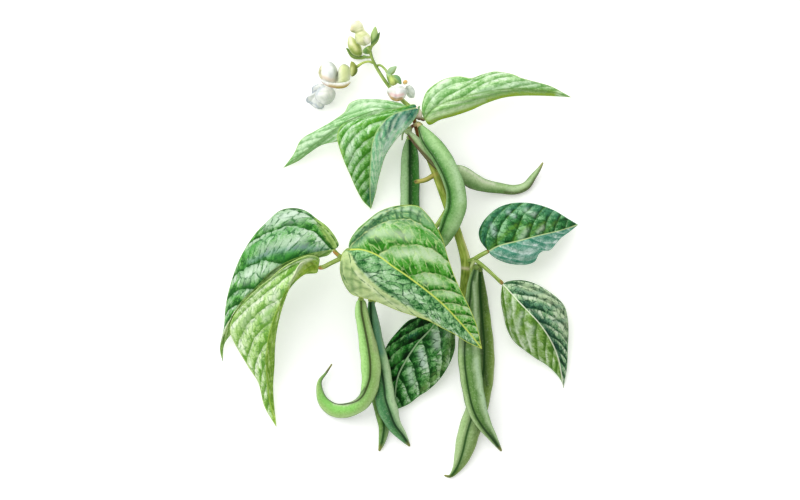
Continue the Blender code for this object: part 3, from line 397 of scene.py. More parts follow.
# For each stalk, the lines of the round and of the flattened tubes that are grown together in it.
STALKS = {
    "main_stem": {
        "material": "stem_olive",
        "round": [STEM, STEM_STUB],
    },
    "leaf_stalk_left": {
        "material": "stalk_green",
        "round": [
            [
                (27.7, 23.2, 16.3, 1.6), (26.0, 20.6, 17.4, 1.5), (21.0, 13.4, 19.6, 1.4),
                (14.0, 7.6, 25.0, 1.4), (4.0, 3.0, 32.0, 1.4), (-6.0, -0.2, 36.5, 1.4),
                (-16.0, -3.0, 38.8, 1.4), (-27.0, -4.4, 39.2, 1.4), (-35.2, -4.6, 39.4, 1.6),
            ],
            [(-34.6, -4.6, 39.4, 1.4), (-37.4, -2.6, 41.2, 1.3), (-39.3, -0.5, 43.0, 1.1)],
            [(-34.6, -4.6, 39.4, 1.3), (-33.2, -1.8, 40.6, 1.1), (-31.4, -0.2, 43.4, 1.0)],
            [
                (-34.6, -4.6, 39.4, 1.4), (-42.0, -8.2, 39.0, 1.4), (-46.0, -10.2, 38.6, 1.4),
                (-48.2, -10.5, 38.4, 1.1),
            ],
        ],
    },
    "leaf_stalk_right": {
        "material": "stalk_green",
        "round": [
            [(42.2, -6.4, 14.8, 1.4), (43.6, -6.0, 16.6, 1.5), (45.0, -5.2, 18.4, 1.6)],
            [(44.6, -5.4, 17.8, 1.4), (48.6, -3.0, 20.4, 1.4), (52.6, -0.9, 21.6, 1.1)],
            [
                (44.6, -5.4, 17.8, 1.3), (52.0, -11.4, 18.4, 1.2), (58.5, -17.4, 17.8, 1.1),
                (61.0, -19.7, 17.8, 1.0),
            ],
            [
                (44.4, -5.6, 17.6, 1.2), (43.2, -10.0, 16.6, 1.2), (42.6, -18.0, 15.8, 1.2),
                (41.2, -27.0, 15.2, 1.2), (37.0, -31.6, 15.2, 1.1), (33.6, -33.0, 15.6, 1.1),
                (31.9, -32.8, 16.1, 1.0),
            ],
        ],
    },
    "leaf_stalk_top": {
        "material": "stalk_green",
        "round": [
            [(8.9, 79.2, 20.0, 1.2), (9.5, 80.2, 22.6, 1.3), (9.6, 81.0, 26.0, 1.4)],
            [(9.6, 81.0, 25.4, 1.2), (7.8, 83.6, 25.6, 1.1), (6.1, 85.0, 25.6, 0.9)],
            [(9.6, 81.0, 25.4, 1.2), (10.2, 83.0, 26.6, 1.1), (10.1, 84.6, 28.2, 0.8)],
            [(9.6, 80.6, 24.2, 1.2), (12.2, 79.2, 23.0, 1.1), (14.0, 78.5, 22.2, 0.9)],
        ],
    },
    "pod_stalk_upper": {
        "material": "stalk_green",
        "round": [
            [(9.8, 75.2, 19.6, 1.0), (10.3, 75.8, 20.6, 1.1), (10.7, 76.0, 21.7, 1.2)],
            [(10.0, 75.4, 19.9, 1.0), (7.6, 74.4, 20.4, 1.0), (5.6, 71.9, 21.2, 1.0)],
            [
                (8.6, 75.0, 20.0, 0.9), (6.8, 74.0, 18.2, 0.9), (6.3, 71.8, 15.8, 0.9),
                (5.8, 68.9, 13.2, 1.1),
            ],
            [
                (6.6, 73.6, 20.6, 0.9), (3.4, 72.4, 20.4, 0.8), (1.6, 69.6, 19.8, 0.6),
                (1.2, 65.6, 18.8, 0.5),
            ],
        ],
    },
    "pod_stalk_left": {
        "material": "stalk_green",
        "round": [
            [
                (27.4, 18.0, 11.8, 1.5), (24.0, 11.0, 10.6, 1.4), (14.0, 1.5, 13.0, 1.3),
                (4.0, -7.0, 17.5, 1.3), (-6.0, -15.0, 22.5, 1.3), (-13.0, -21.0, 26.0, 1.5),
            ],
            [(-12.6, -20.6, 25.8, 1.3), (-19.0, -25.0, 28.6, 1.3), (-22.8, -28.0, 29.2, 1.4)],
            [(-12.6, -20.6, 25.8, 1.3), (-16.0, -25.6, 23.6, 1.2), (-17.2, -29.0, 21.2, 1.3)],
            [(-12.6, -20.6, 25.8, 1.3), (-13.0, -26.6, 19.0, 1.1), (-16.2, -32.0, 13.2, 1.2)],
        ],
    },
    "pod_stalk_lower": {
        "material": "stalk_green",
        "round": [
            [(43.4, -10.2, 11.9, 1.2), (45.2, -9.6, 12.4, 1.2), (47.0, -10.0, 12.8, 1.3)],
            [
                (44.9, -9.7, 12.3, 1.1), (45.9, -10.4, 15.0, 1.1), (46.0, -11.0, 18.0, 1.1),
                (45.8, -10.4, 21.4, 1.3),
            ],
        ],
    },
    "flower_stalk": {
        "material": "stalk_green",
        "round": [
            [
                (7.9, 80.7, 18.1, 1.1), (7.2, 84.4, 18.3, 1.3), (2.0, 89.4, 18.0, 1.3),
                (-6.6, 98.4, 15.6, 1.1), (-12.9, 107.6, 13.4, 1.0), (-16.6, 114.8, 13.0, 0.9),
                (-18.2, 120.4, 13.4, 1.0),
            ],
            [
                (-15.6, 112.2, 13.0, 0.8), (-18.8, 113.2, 13.0, 0.7), (-22.4, 112.4, 12.4, 0.7),
                (-26.4, 109.8, 11.6, 1.0),
            ],
            [
                (-29.2, 113.4, 11.4, 0.6), (-28.2, 110.6, 11.2, 2.0), (-27.8, 107.6, 11.0, 2.3),
                (-29.0, 104.2, 10.6, 0.7),
            ],
            [
                (-14.6, 110.6, 13.0, 0.8), (-12.0, 111.0, 14.5, 0.7), (-9.0, 108.6, 17.5, 0.7),
                (-7.4, 106.2, 20.0, 0.9),
            ],
            [
                (-7.6, 106.6, 19.6, 0.9), (-5.8, 103.4, 21.6, 2.2), (-3.6, 100.4, 23.6, 2.8),
                (-3.0, 99.2, 24.2, 2.4),
            ],
            [(-17.8, 118.4, 13.2, 1.0), (-19.6, 120.0, 13.3, 2.8), (-20.8, 121.6, 13.5, 3.2)],
            [(-17.0, 116.0, 13.0, 0.8), (-19.6, 115.8, 10.4, 0.8), (-22.4, 116.4, 8.0, 1.0)],
        ],
        "flat": [
            [(-6.8, 104.8, 21.0, 0.8), (-5.2, 107.4, 22.4, 2.2), (-2.0, 110.2, 22.8, 0.5)],
            [(-5.0, 104.4, 23.0, 0.8), (-1.8, 102.6, 25.6, 2.1), (0.8, 99.4, 26.0, 0.5)],
            [
                (-21.0, 116.0, 8.4, 0.9), (-23.8, 115.8, 4.4, 1.2), (-28.4, 117.0, 2.0, 1.4),
                (-32.4, 121.8, 1.8, 0.4),
            ],
            [
                (-18.0, 119.6, 13.4, 0.8), (-16.6, 124.0, 13.2, 0.9), (-15.4, 129.0, 12.8, 2.2),
                (-14.8, 134.4, 12.8, 0.5),
            ],
            [(-17.2, 122.0, 13.2, 0.7), (-14.0, 126.4, 11.6, 1.1), (-12.2, 131.0, 11.0, 0.4)],
        ],
    },
}

# The closed parts of the flowers: buds and keels, as the lines of round tubes.
BUDS = {
    "bud_top": [
        (-21.3, 122.7, 13.5, 2.2), (-21.6, 125.2, 13.5, 4.5), (-23.2, 128.6, 13.2, 4.2),
        (-24.2, 131.4, 12.8, 3.1), (-25.6, 133.4, 12.4, 3.9), (-27.4, 134.8, 12.2, 4.1),
        (-29.0, 136.0, 12.0, 2.2),
    ],
    "bud_left": [
        (-23.3, 117.0, 7.9, 1.2), (-26.0, 120.0, 7.2, 3.4), (-28.6, 124.4, 6.6, 3.2),
        (-30.4, 128.6, 6.2, 0.8),
    ],
    "flower_open_keel": [
        (-48.4, 102.6, 14.0, 0.5), (-44.4, 100.0, 15.2, 1.2), (-39.0, 98.7, 15.6, 1.6),
        (-33.4, 99.1, 15.2, 1.7), (-29.6, 101.2, 14.2, 0.6),
    ],
    "flower_half_keel": [(2.0, 99.6, 24.0, 0.6), (3.2, 100.7, 24.4, 1.4), (3.8, 102.0, 24.4, 0.6)],
}

# The open petals, laid out like the leaflets.
PETALS = {
    "flower_open_standard": {
        "midrib": [(-38.6, 100.4, 9.6), (-38.0, 103.6, 10.4), (-37.4, 106.8, 10.8)],
        "left": [
            (-43.5, 101.0, 8.4), (-47.6, 102.8, 7.0), (-49.2, 106.6, 6.5), (-47.4, 111.4, 6.5),
            (-43.2, 113.6, 6.5), (-39.6, 111.8, 8.0), (-37.9, 109.0, 9.6),
        ],
        "right": [
            (-34.0, 100.4, 9.0), (-30.6, 101.8, 8.5), (-29.6, 106.4, 8.5), (-30.6, 110.2, 8.5),
            (-33.8, 112.0, 8.5), (-36.3, 110.2, 9.2),
        ],
        "dome": (0.5, 0.4),
    },
    "flower_open_wing_front": {
        "midrib": [(-40.0, 97.0, 9.4), (-44.6, 93.4, 11.4), (-48.8, 88.6, 6.4)],
        "left": [(-38.8, 94.8, 8.4), (-39.2, 91.4, 7.6), (-41.8, 88.2, 6.6), (-45.6, 87.2, 5.8)],
        "right": [(-43.2, 98.8, 8.9), (-47.4, 98.4, 8.4), (-50.4, 95.6, 7.6), (-51.0, 91.2, 6.4)],
        "dome": (0.16, 0.16),
    },
    "flower_open_wing_back": {
        "midrib": [(-44.6, 98.0, 5.2), (-50.0, 94.0, 4.6), (-54.6, 88.2, 2.4)],
        "left": [(-44.5, 95.0, 4.6), (-44.8, 89.0, 3.6), (-46.8, 85.0, 2.6), (-51.2, 85.6, 2.2)],
        "right": [
            (-48.0, 100.2, 5.6), (-52.8, 98.0, 5.2), (-53.4, 94.2, 4.6), (-56.2, 91.6, 3.8),
            (-56.4, 89.2, 2.8),
        ],
        "dome": (0.1, 0.1),
    },
    "flower_half_standard": {
        "midrib": [(-2.4, 97.6, 25.8), (-2.2, 93.6, 28.0), (-2.0, 89.0, 26.8)],
        "left": [(0.8, 98.4, 25.4), (3.4, 96.4, 25.0), (3.6, 92.8, 25.0), (1.2, 89.8, 26.0)],
        "right": [(-5.5, 97.8, 24.8), (-7.8, 95.6, 24.0), (-6.8, 92.2, 25.0), (-4.6, 89.8, 26.2)],
        "dome": (0.3, 0.3),
    },
    "flower_half_wing": {
        "midrib": [(3.2, 97.4, 21.4), (6.0, 94.6, 22.0), (8.6, 91.4, 20.8)],
        "left": [(5.6, 99.0, 21.6), (8.8, 96.0, 21.4)],
        "right": [(3.6, 94.0, 21.2), (5.8, 91.4, 20.8)],
        "dome": (0.2, 0.2),
    },
}

# How each leaflet is coloured. Where there are two values, they are for its left and its right half.
# "shades" go from the light on a bulge, a painted highlight, to the deep green beside a vein, a painted
# shade, and random patches and grain pick from them too. "veins", "net", "midrib" and "rim" are tint and
# strength of its lines. "fields" is how strongly that painted light and shade change from vein to vein,
# "roots" are where side veins leave the midrib (0 at the base, 1 at the tip, less than 0 for those from the
# base itself), and
# "reach" is how far forward they run, at base and tip.
LEAF_LOOKS = {
    "leaflet_top_back": {
        "shades": (
            ["#D6F0CE", "#BCE0AE", "#A6D098", "#80B66E"],
            ["#D8F1D0", "#BCE0AE", "#A0CC90", "#70AA62"],
        ),
        "veins": (("#5F9648", 0.4), ("#7CB265", 0.4)),
        "net": (("#74AA66", 0.4), ("#6CA664", 0.45)),
        "fields": (0.8, 0.8),
        "midrib": ("#6E9A50", 0.5),
        "rim": ("#A9CC84", 0.6),
        "roots": [-0.9, -0.35, 0.1, 0.38, 0.55, 0.68, 0.78, 0.86, 0.93, 1.0],
        "reach": (0.5, 0.2),
    },
    "leaflet_top_front": {
        "shades": (
            ["#EEFFEA", "#DCF8D6", "#C8F0C4", "#8AD09A"],
            ["#CBE8C0", "#A4D096", "#78B65A", "#3C821C"],
        ),
        "veins": (("#5CAC7A", 0.3), ("#568F30", 0.55)),
        "net": (("#74C08C", 0.5), ("#438A40", 0.55)),
        "fields": (0.6, 0.9),
        "midrib": ("#B7D892", 0.7),
        "rim": ("#A9CF66", 0.75),
        "roots": [-0.8, -0.3, 0.08, 0.3, 0.46, 0.58, 0.68, 0.76, 0.83, 0.89, 0.95, 1.0],
        "reach": (0.5, 0.2),
    },
    "leaflet_top_right": {
        "shades": (
            ["#DCF2D2", "#C2E2AE", "#A2CE8C", "#68A450"],
            ["#DCF2CE", "#C8E6B2", "#B2DA98", "#8ABC6C"],
        ),
        "veins": (("#7CB060", 0.5), ("#7FB062", 0.45)),
        "net": (("#6CA456", 0.5), ("#84B46C", 0.4)),
        "fields": (0.8, 0.8),
        "midrib": ("#6F9A48", 0.55),
        "rim": ("#B4D286", 0.6),
        "roots": [-0.9, -0.35, 0.05, 0.32, 0.5, 0.63, 0.74, 0.83, 0.91, 1.0],
        "reach": (0.5, 0.2),
    },
    "leaflet_left_back": {
        "shades": (
            ["#D2E6AA", "#B0CF80", "#90B65C", "#5F8C38"],
            ["#C0D8BC", "#92BC88", "#58A03E", "#185810"],
        ),
        "veins": (("#7FA64A", 0.4), ("#1A5A14", 0.9)),
        "net": (("#62943E", 0.55), ("#24622C", 0.85)),
        "fields": (0.7, 1.1),
        "midrib": ("#9CC05C", 0.6),
        "rim": ("#84AE64", 0.6),
        "roots": [-0.75, -0.3, 0.13, 0.52, 0.67, 0.77, 0.85, 0.92, 1.0],
        "reach": (0.5, 0.2),
    },
    "leaflet_left_front": {
        "shades": (
            ["#E0F2B4", "#C4E07E", "#A4CA58", "#6C9C28"],
            ["#E9F8D6", "#CAE6A8", "#A9D278", "#6AA234"],
        ),
        "veins": (("#5E8E22", 0.65), ("#6C9A4C", 0.75)),
        "net": (("#6C9A30", 0.55), ("#5A9048", 0.65)),
        "fields": (0.8, 0.9),
        "midrib": ("#A6CC52", 0.8),
        "rim": ("#C0DC84", 0.75),
        "roots": [-0.7, -0.25, 0.15, 0.36, 0.52, 0.63, 0.72, 0.8, 0.87, 0.93, 1.0],
        "reach": (0.45, 0.2),
    },
    "leaflet_centre": {
        "shades": (
            ["#B6D4A4", "#86BA6C", "#429620", "#0E5A02"],
            ["#D0EACA", "#A6D09C", "#74AE6C", "#1C6224"],
        ),
        "veins": (("#C4DA94", 0.75), ("#2A6A38", 0.75)),
        "net": (("#B8D88C", 0.66), ("#0F4A24", 0.9)),
        "fields": (1.05, 0.15),
        "midrib": ("#CBDD66", 0.98),
        "rim": ("#CBDD62", 0.95),
        "roots": [-0.9, -0.42, 0.07, 0.42, 0.6, 0.7, 0.78, 0.84, 0.89, 0.93, 0.97, 1.0],
        "reach": (0.56, 0.16),
    },
    "leaflet_right_upper": {
        "shades": (
            ["#8CBE8C", "#4C8850", "#22662C", "#06380E"],
            ["#DCECE4", "#A8D0BC", "#76B098", "#3A866A"],
        ),
        "veins": (("#4F8A2A", 0.55), ("#5EA080", 0.5)),
        "net": (("#0F4420", 0.7), ("#428C6C", 0.55)),
        "fields": (0.9, 0.7),
        "midrib": ("#C3D99A", 0.85),
        "rim": ("#6FA68A", 0.6),
        "roots": [-0.8, -0.3, 0.06, 0.32, 0.5, 0.63, 0.74, 0.83, 0.91, 1.0],
        "reach": (0.5, 0.2),
    },
    "leaflet_right_lower": {
        "shades": (
            ["#CBDEBE", "#9CBE8E", "#5F9464", "#143E22"],
            ["#CFE0BE", "#9FBF82", "#7CA44C", "#467420"],
        ),
        "veins": (("#3A7044", 0.55), ("#7CA44A", 0.55)),
        "net": (("#123C24", 0.85), ("#5E8A36", 0.5)),
        "fields": (1.0, 0.9),
        "midrib": ("#E3EDD0", 0.95),
        "rim": ("#86AC7C", 0.6),
        "roots": [-0.8, -0.3, 0.06, 0.3, 0.47, 0.6, 0.7, 0.79, 0.87, 0.94, 1.0],
        "reach": (0.46, 0.2),
    },
    "leaflet_low_centre": {
        "shades": (
            ["#BBD6B4", "#74AA68", "#357C30", "#063C0A"],
            ["#86BC78", "#3A8636", "#125A12", "#001A00"],
        ),
        "veins": (("#0C4A12", 0.85), ("#012402", 0.92)),
        "net": (("#0C4812", 0.85), ("#043408", 0.8)),
        "fields": (0.9, 0.9),
        "midrib": ("#9CBC8E", 0.85),
        "rim": ("#5F9450", 0.6),
        "roots": [-0.8, -0.22, 0.16, 0.4, 0.58, 0.72, 0.84, 0.93, 1.0],
        "reach": (0.42, 0.2),
    },
}
UNDERSIDE_LOOK = {
    "shades": (["#D2E3BC", "#B9D29C", "#A2C082", "#84A862"],) * 2,
    "veins": (("#D9E6BE", 0.8),) * 2,
    "net": (("#C6DAA6", 0.6),) * 2,
    "fields": (0.5, 0.5),
    "midrib": ("#DFEAC2", 0.95),
    "rim": ("#B9D294", 0.6),
}

# Washes of colour that lie over a piece where it looks plainly lighter, deeper or warmer than the rest. Most
# # are its own tints, some are painted highlights on bulges and painted shadows where a piece lies under or
# # beside another. Each has tint, softness in millimetres, strength, and the lines that it follows, seen
# from
# # above. A line that ends where it began is filled.
WASHES = {
    "leaflet_centre": [
        ("#7FA880", 1.8, 0.6, [
            (-30.0, 0.6), (-25.8, 10.2), (-16.2, 19.8), (-4.8, 25.2), (6.0, 25.8), (14.4, 22.2),
            (19.2, 15.0), (9.6, 17.4), (-1.2, 19.8), (-9.6, 17.4), (-18.0, 11.4), (-24.6, 4.2),
            (-30.0, 0.6),
        ]),
        ("#1F5A30", 0.75, 0.7, [
            (-28.8, 3.6), (-24.0, 6.0), (-18.6, 13.2), (-11.4, 19.2), (-3.6, 22.2), (5.4, 22.8),
            (12.6, 19.8),
        ]),
        ("#C3DCBC", 1.0, 0.6, [(-16.8, 18.6), (-12.0, 22.2), (-4.8, 24.6)]),
        ("#C3DCBC", 0.9, 0.55, [(-1.2, 24.0), (6.0, 24.6), (12.0, 21.6)]),
        ("#0F4A24", 0.66, 0.85,
         [(-28.2, 4.2), (-25.2, 9.0), (-21.0, 13.8)],
         [(-25.2, 6.0), (-20.4, 12.6), (-15.6, 18.0)],
         [(-21.6, 9.0), (-16.2, 15.6), (-10.8, 21.0)]),
        ("#0F4A24", 0.66, 0.8, [(-17.4, 12.0), (-12.0, 18.0), (-5.4, 23.4)]),
        ("#0F4A24", 0.66, 0.75,
         [(-27.0, 8.4), (-23.4, 8.4), (-19.2, 10.8)],
         [(-22.2, 13.8), (-18.6, 13.2), (-13.8, 14.4)],
         [(-17.4, 18.6), (-13.8, 16.8), (-9.6, 16.8)]),
        ("#0F4A24", 0.7, 0.8,
         [(-7.8, 24.0), (-6.6, 18.6)],
         [(-3.6, 25.2), (-1.2, 18.0)],
         [(1.2, 25.8), (0.6, 21.6), (2.4, 17.4)]),
        ("#0F4A24", 0.7, 0.75,
         [(6.6, 25.2), (6.0, 20.4), (7.2, 17.4)],
         [(12.0, 23.4), (10.2, 19.2), (12.6, 15.6)]),
        ("#2A7A24", 1.5, 0.62, [(-4.2, 16.8), (1.2, 15.6), (6.6, 17.4)]),
        ("#2F8A1E", 1.8, 0.6, [(7.2, 14.4), (14.4, 10.8), (21.6, 7.8)]),
        ("#3A7A4A", 1.6, 0.5, [(-25.8, 4.2), (-21.6, 7.8), (-16.8, 10.2)]),
        # Painted highlights: pale bands where light falls on the upper half between its side veins.
        ("#C3DAB4", 3.0, 0.6, [(-16.8, 9.6), (-4.8, 10.2), (6.0, 8.4)]),
        ("#C6DCB6", 2.6, 0.6, [(-1.2, -3.0), (7.2, -1.2), (18.0, -4.2)]),
        ("#BED8AC", 2.0, 0.5, [(14.4, -18.6), (26.4, -20.4)]),
        ("#B9D6A6", 1.6, 0.5, [(21.6, -25.8), (31.2, -27.6)]),
        ("#3F9322", 2.4, 0.62, [(-18.0, 1.8), (-9.6, 0.6), (-1.2, 2.4), (8.4, 2.4)]),
        ("#3C9020", 2.4, 0.62, [(-7.2, -4.2), (-1.8, -7.2), (4.8, -7.2)]),
        ("#4A9A28", 2.4, 0.62, [(7.2, -13.2), (15.6, -12.0), (25.2, -13.8)]),
        ("#3C9020", 1.8, 0.5, [(16.8, -22.8), (24.0, -22.8)]),
        ("#3C9020", 1.5, 0.5, [(25.8, -30.6), (32.4, -30.6)]),
        ("#3C9020", 1.3, 0.5, [(32.4, -37.8), (38.4, -37.8)]),
        ("#5C9C50", 2.6, 0.4, [(14.4, 8.4), (22.8, 6.0), (27.6, -1.2)]),
        # Painted shade along the inner side of the crease in the lower half.
        ("#1F5A30", 1.0, 0.62, [
            (-28.2, -4.2), (-22.8, -10.8), (-16.8, -16.8), (-9.6, -22.8), (-1.2, -28.2), (7.2, -33.0),
        ]),
        ("#CDE09C", 0.8, 0.86, [
            (-30.0, -2.4), (-25.8, -10.8), (-20.4, -16.2), (-12.0, -24.0), (0.0, -31.8), (10.8, -37.8),
            (24.0, -45.6), (24.0, -50.4), (0.0, -40.8), (-25.2, -32.4), (-39.6, -25.2), (-40.8, -7.2),
            (-34.2, 0.0), (-30.0, -2.4),
        ]),
        ("#5E8E48", 1.1, 0.5, [(-28.2, -10.8), (-28.8, -18.0), (-28.2, -24.6)]),
        ("#6F9C50", 1.1, 0.45, [(-22.8, -14.4), (-24.0, -20.4), (-23.4, -25.8)]),
        ("#86AE5C", 1.2, 0.45, [(-14.4, -24.6), (-9.6, -28.2), (-3.6, -31.2), (2.4, -34.8)]),
        ("#3F6E3C", 0.9, 0.6, [(-34.8, -7.2), (-35.4, -13.2), (-33.6, -20.4), (-30.0, -25.2)]),
        ("#6F9858", 1.6, 0.45, [(-31.8, -7.2), (-31.8, -15.6), (-28.2, -22.8)]),
        ("#E3EFC4", 1.2, 0.6, [(-26.4, -13.2), (-20.4, -19.8), (-10.8, -28.2), (2.4, -35.4)]),
        ("#4F7C3C", 0.75, 0.62,
         [(-32.4, -10.8), (-28.8, -12.0), (-26.4, -15.6)],
         [(-33.0, -17.4), (-27.6, -17.4), (-23.4, -19.8)]),
        ("#4F7C3C", 0.75, 0.55, [(-28.8, -24.0), (-22.8, -22.2), (-18.0, -24.0)]),
        ("#5F8A48", 0.75, 0.55,
         [(-20.4, -28.2), (-14.4, -26.4), (-9.6, -28.2)],
         [(-10.8, -32.4), (-4.8, -30.6), (-1.2, -32.4)]),
    ],
    "leaflet_left_back": [
        ("#C9D8CC", 4.0, 0.5, [(-79.2, 15.6), (-69.6, 20.4), (-60.0, 20.4)]),
        ("#C4D4C6", 3.4, 0.45, [(-82.8, 0.0), (-70.8, 4.2), (-57.6, 6.0)]),
        ("#C6D8C6", 3.0, 0.4, [(-93.6, -18.0), (-82.8, -13.2), (-74.4, -10.8)]),
        ("#3E9636", 2.2, 0.62, [(-92.4, -2.4), (-86.4, 3.0), (-79.2, 7.8), (-69.6, 11.4), (-61.2, 12.6)]),
        ("#459A3C", 2.0, 0.55, [
            (-96.0, -13.2), (-88.8, -7.8), (-79.2, -4.8), (-69.6, -4.2), (-63.6, -1.2),
        ]),
        ("#3C8A38", 1.8, 0.45, [(-100.8, -27.6), (-94.8, -24.0), (-87.6, -21.0)]),
        ("#A9C86C", 1.3, 0.8, [
            (-50.4, 19.2), (-42.6, 13.8), (-37.2, 5.4), (-37.8, 0.0), (-42.6, 6.0), (-50.4, 19.2),
        ]),
        ("#5F8A3A", 0.7, 0.7, [(-49.2, 15.6), (-44.4, 10.2), (-40.2, 3.0)]),
        ("#12481A", 1.0, 0.6, [
            (-49.2, 0.0), (-60.0, -4.2), (-73.2, -10.2), (-82.8, -18.6), (-92.4, -27.6),
        ]),
        ("#7E9A9A", 2.0, 0.5, [(-90.0, -7.2), (-76.8, -1.2), (-60.0, 1.8), (-45.6, 0.6)]),
    ],
    "leaflet_left_front": [
        ("#E6F0DC", 2.6, 0.6, [(-74.4, -25.2), (-76.8, -33.6), (-80.4, -40.8)]),
        ("#D8EBC2", 3.5, 0.4, [(-85.2, -27.6), (-91.2, -37.2), (-93.6, -44.4)]),
        ("#6DA832", 1.6, 0.6, [(-76.2, -36.0), (-81.6, -39.6), (-85.2, -43.2)]),
        ("#6DA832", 1.3, 0.5, [(-78.0, -32.4), (-79.2, -42.0), (-80.4, -54.0)]),
        ("#8DB94A", 1.6, 0.6, [(-74.4, -33.6), (-76.2, -48.0), (-77.4, -63.6), (-76.8, -84.0)]),
        ("#9CBB38", 1.8, 0.7, [
            (-49.2, -7.2), (-54.0, -7.2), (-58.8, -10.8), (-62.4, -16.2), (-60.0, -17.4), (-54.0, -12.0),
            (-48.0, -10.8), (-49.2, -7.2),
        ]),
        ("#5E7A1C", 0.8, 0.6, [(-56.4, -8.4), (-54.0, -11.4)], [(-53.4, -6.6), (-51.0, -10.8)]),
        ("#E4F0CE", 1.2, 0.6, [(-51.6, -4.2), (-58.2, -7.8), (-62.4, -13.8), (-66.0, -20.4)]),
        ("#5F9A40", 1.0, 0.45, [(-82.8, -66.0), (-79.8, -78.0), (-77.4, -93.0)]),
    ],
    "leaflet_top_back": [
        ("#DAF2D0", 3.0, 0.55, [(-28.8, 85.2), (-21.6, 87.6), (-12.0, 87.6)]),
        ("#8CBF7C", 2.2, 0.5, [(-30.0, 82.8), (-25.2, 85.2), (-20.4, 82.8)]),
        ("#DAF2D0", 3.0, 0.5, [(-60.0, 61.2), (-51.6, 67.2), (-42.0, 72.0)]),
        ("#6FA65C", 1.2, 0.5, [(-28.8, 78.0), (-37.2, 73.2), (-46.8, 66.0), (-56.4, 58.8)]),
        ("#7CAC50", 1.0, 0.6, [
            (-64.8, 52.2), (-56.4, 56.4), (-48.0, 60.6), (-37.2, 63.6), (-30.0, 65.4),
        ]),
    ],
    "leaflet_top_front": [
        ("#04604E", 3.8, 0.95, [(10.2, 86.4), (7.8, 82.8), (4.8, 79.2)]),
        ("#0A6450", 1.4, 0.95, [(3.0, 82.8), (-0.6, 78.6), (-3.0, 73.2)]),
        ("#0A6450", 1.2, 0.9, [(-1.8, 81.6), (-5.4, 76.8), (-6.6, 70.8)]),
        ("#146A50", 1.1, 0.85, [(-7.2, 79.2), (-9.6, 74.4), (-7.8, 67.2)]),
        ("#2A7A5A", 0.9, 0.6, [(-12.0, 73.2), (-12.6, 68.4), (-10.2, 63.6)]),
        ("#BEDCD2", 1.6, 0.6, [(2.4, 79.2), (-0.6, 73.2)]),
        ("#BEDCD2", 2.0, 0.5, [(-5.4, 68.4), (-8.4, 61.2)]),
        ("#5C9A22", 1.2, 0.6, [(-7.2, 79.2), (-15.6, 77.4), (-24.0, 74.4), (-28.8, 70.8)]),
        ("#5C9A22", 1.1, 0.6,
         [(-12.0, 72.0), (-16.8, 69.6), (-21.6, 65.4)],
         [(-16.2, 65.4), (-19.2, 63.6), (-22.8, 60.0)]),
        ("#4C9030", 1.0, 0.6,
         [(-18.0, 58.8), (-21.0, 56.4), (-24.0, 53.4)],
         [(-18.6, 51.6), (-21.6, 49.2), (-23.4, 46.8)]),
        ("#4C9030", 1.0, 0.55, [(-18.6, 44.4), (-21.0, 42.0)]),
        ("#CBE4C8", 2.2, 0.5, [(-30.0, 62.4), (-28.8, 54.0)]),
        ("#0E6048", 2.8, 0.8, [(-18.0, 36.0), (-18.0, 30.0), (-17.4, 24.6)]),
        ("#8DBF50", 1.2, 0.6, [(-37.2, 73.2), (-37.2, 66.0), (-34.2, 56.4)]),
    ],
    "leaflet_top_right": [
        ("#DCF2D2", 2.2, 0.6, [(19.2, 90.0), (22.2, 96.0), (27.6, 100.8)]),
        ("#8FC07E", 1.8, 0.5, [(22.8, 90.0), (26.4, 94.8), (31.2, 99.6)]),
        ("#86BA70", 2.2, 0.45, [(18.0, 82.8), (16.8, 88.8)]),
        ("#D6EFD0", 1.6, 0.6, [(48.0, 94.8), (57.6, 97.2), (68.4, 99.6), (81.6, 99.6)]),
        ("#7CB068", 1.2, 0.5, [(45.6, 93.6), (54.0, 96.0), (63.6, 99.0)]),
        ("#94B416", 3.0, 1.0, [
            (14.4, 76.8), (18.0, 75.6), (24.0, 78.3), (32.4, 80.7), (43.8, 84.3), (51.0, 87.9),
            (61.8, 91.5), (72.6, 92.7), (91.2, 92.7),
        ]),
        ("#5A8A44", 0.7, 0.66, [
            (15.0, 81.6), (26.4, 84.6), (38.4, 88.2), (48.6, 91.2), (61.8, 94.8), (74.4, 96.0),
            (90.0, 94.8),
        ]),
        ("#CFE6B8", 1.2, 0.6, [(16.8, 78.6), (27.6, 82.2), (39.6, 85.8), (50.4, 90.0)]),
    ],
    "leaflet_right_upper": [
        ("#3F7F66", 3.0, 0.5, [
            (50.4, 3.6), (49.2, 10.8), (52.8, 18.0), (60.0, 23.4), (69.6, 25.8), (81.6, 25.8),
            (93.6, 21.6),
        ]),
        ("#B7D2C4", 1.6, 0.6, [(55.2, 14.4), (56.4, 9.6)]),
        ("#B7D2C4", 1.4, 0.55, [(64.8, 22.8), (68.4, 20.4)]),
        ("#C2DAC6", 1.5, 0.5, [(75.6, 24.0), (80.4, 21.6)]),
        ("#5C8E2A", 1.5, 0.65, [(55.2, 1.2), (60.0, 7.2), (66.0, 12.6), (72.0, 15.6)]),
        ("#5C8E2A", 1.3, 0.6, [(68.4, 4.8), (69.6, 8.4), (73.2, 12.6), (78.0, 15.0)]),
        ("#64943A", 1.2, 0.55, [(78.0, 8.4), (81.6, 13.2), (86.4, 16.2)]),
        ("#64943A", 1.0, 0.5, [(86.4, 10.2), (90.0, 13.8), (93.6, 16.8)]),
        ("#BFD8B4", 1.6, 0.5, [(72.6, 7.2), (75.6, 12.0)]),
        ("#BFD8B4", 1.3, 0.5, [(82.8, 10.8), (85.8, 13.8)]),
        ("#2F7A60", 1.0, 0.55, [(63.6, -7.2), (72.0, -7.2), (79.2, -4.8), (82.2, -1.2)]),
        ("#D3EAE2", 1.8, 0.6, [(72.0, -3.6), (76.8, -1.2), (80.4, 1.2)]),
        ("#1F5A30", 1.2, 0.6, [(98.4, 16.8), (106.8, 14.4)]),
    ],
    "leaflet_right_lower": [
        ("#B6CAA0", 3.4, 0.66, [
            (74.4, -21.6), (84.0, -26.4), (93.6, -31.2), (99.6, -40.8), (100.8, -50.4),
        ]),
        ("#5D8C74", 1.3, 0.55, [(69.6, -22.8), (76.8, -26.4), (85.2, -25.2)]),
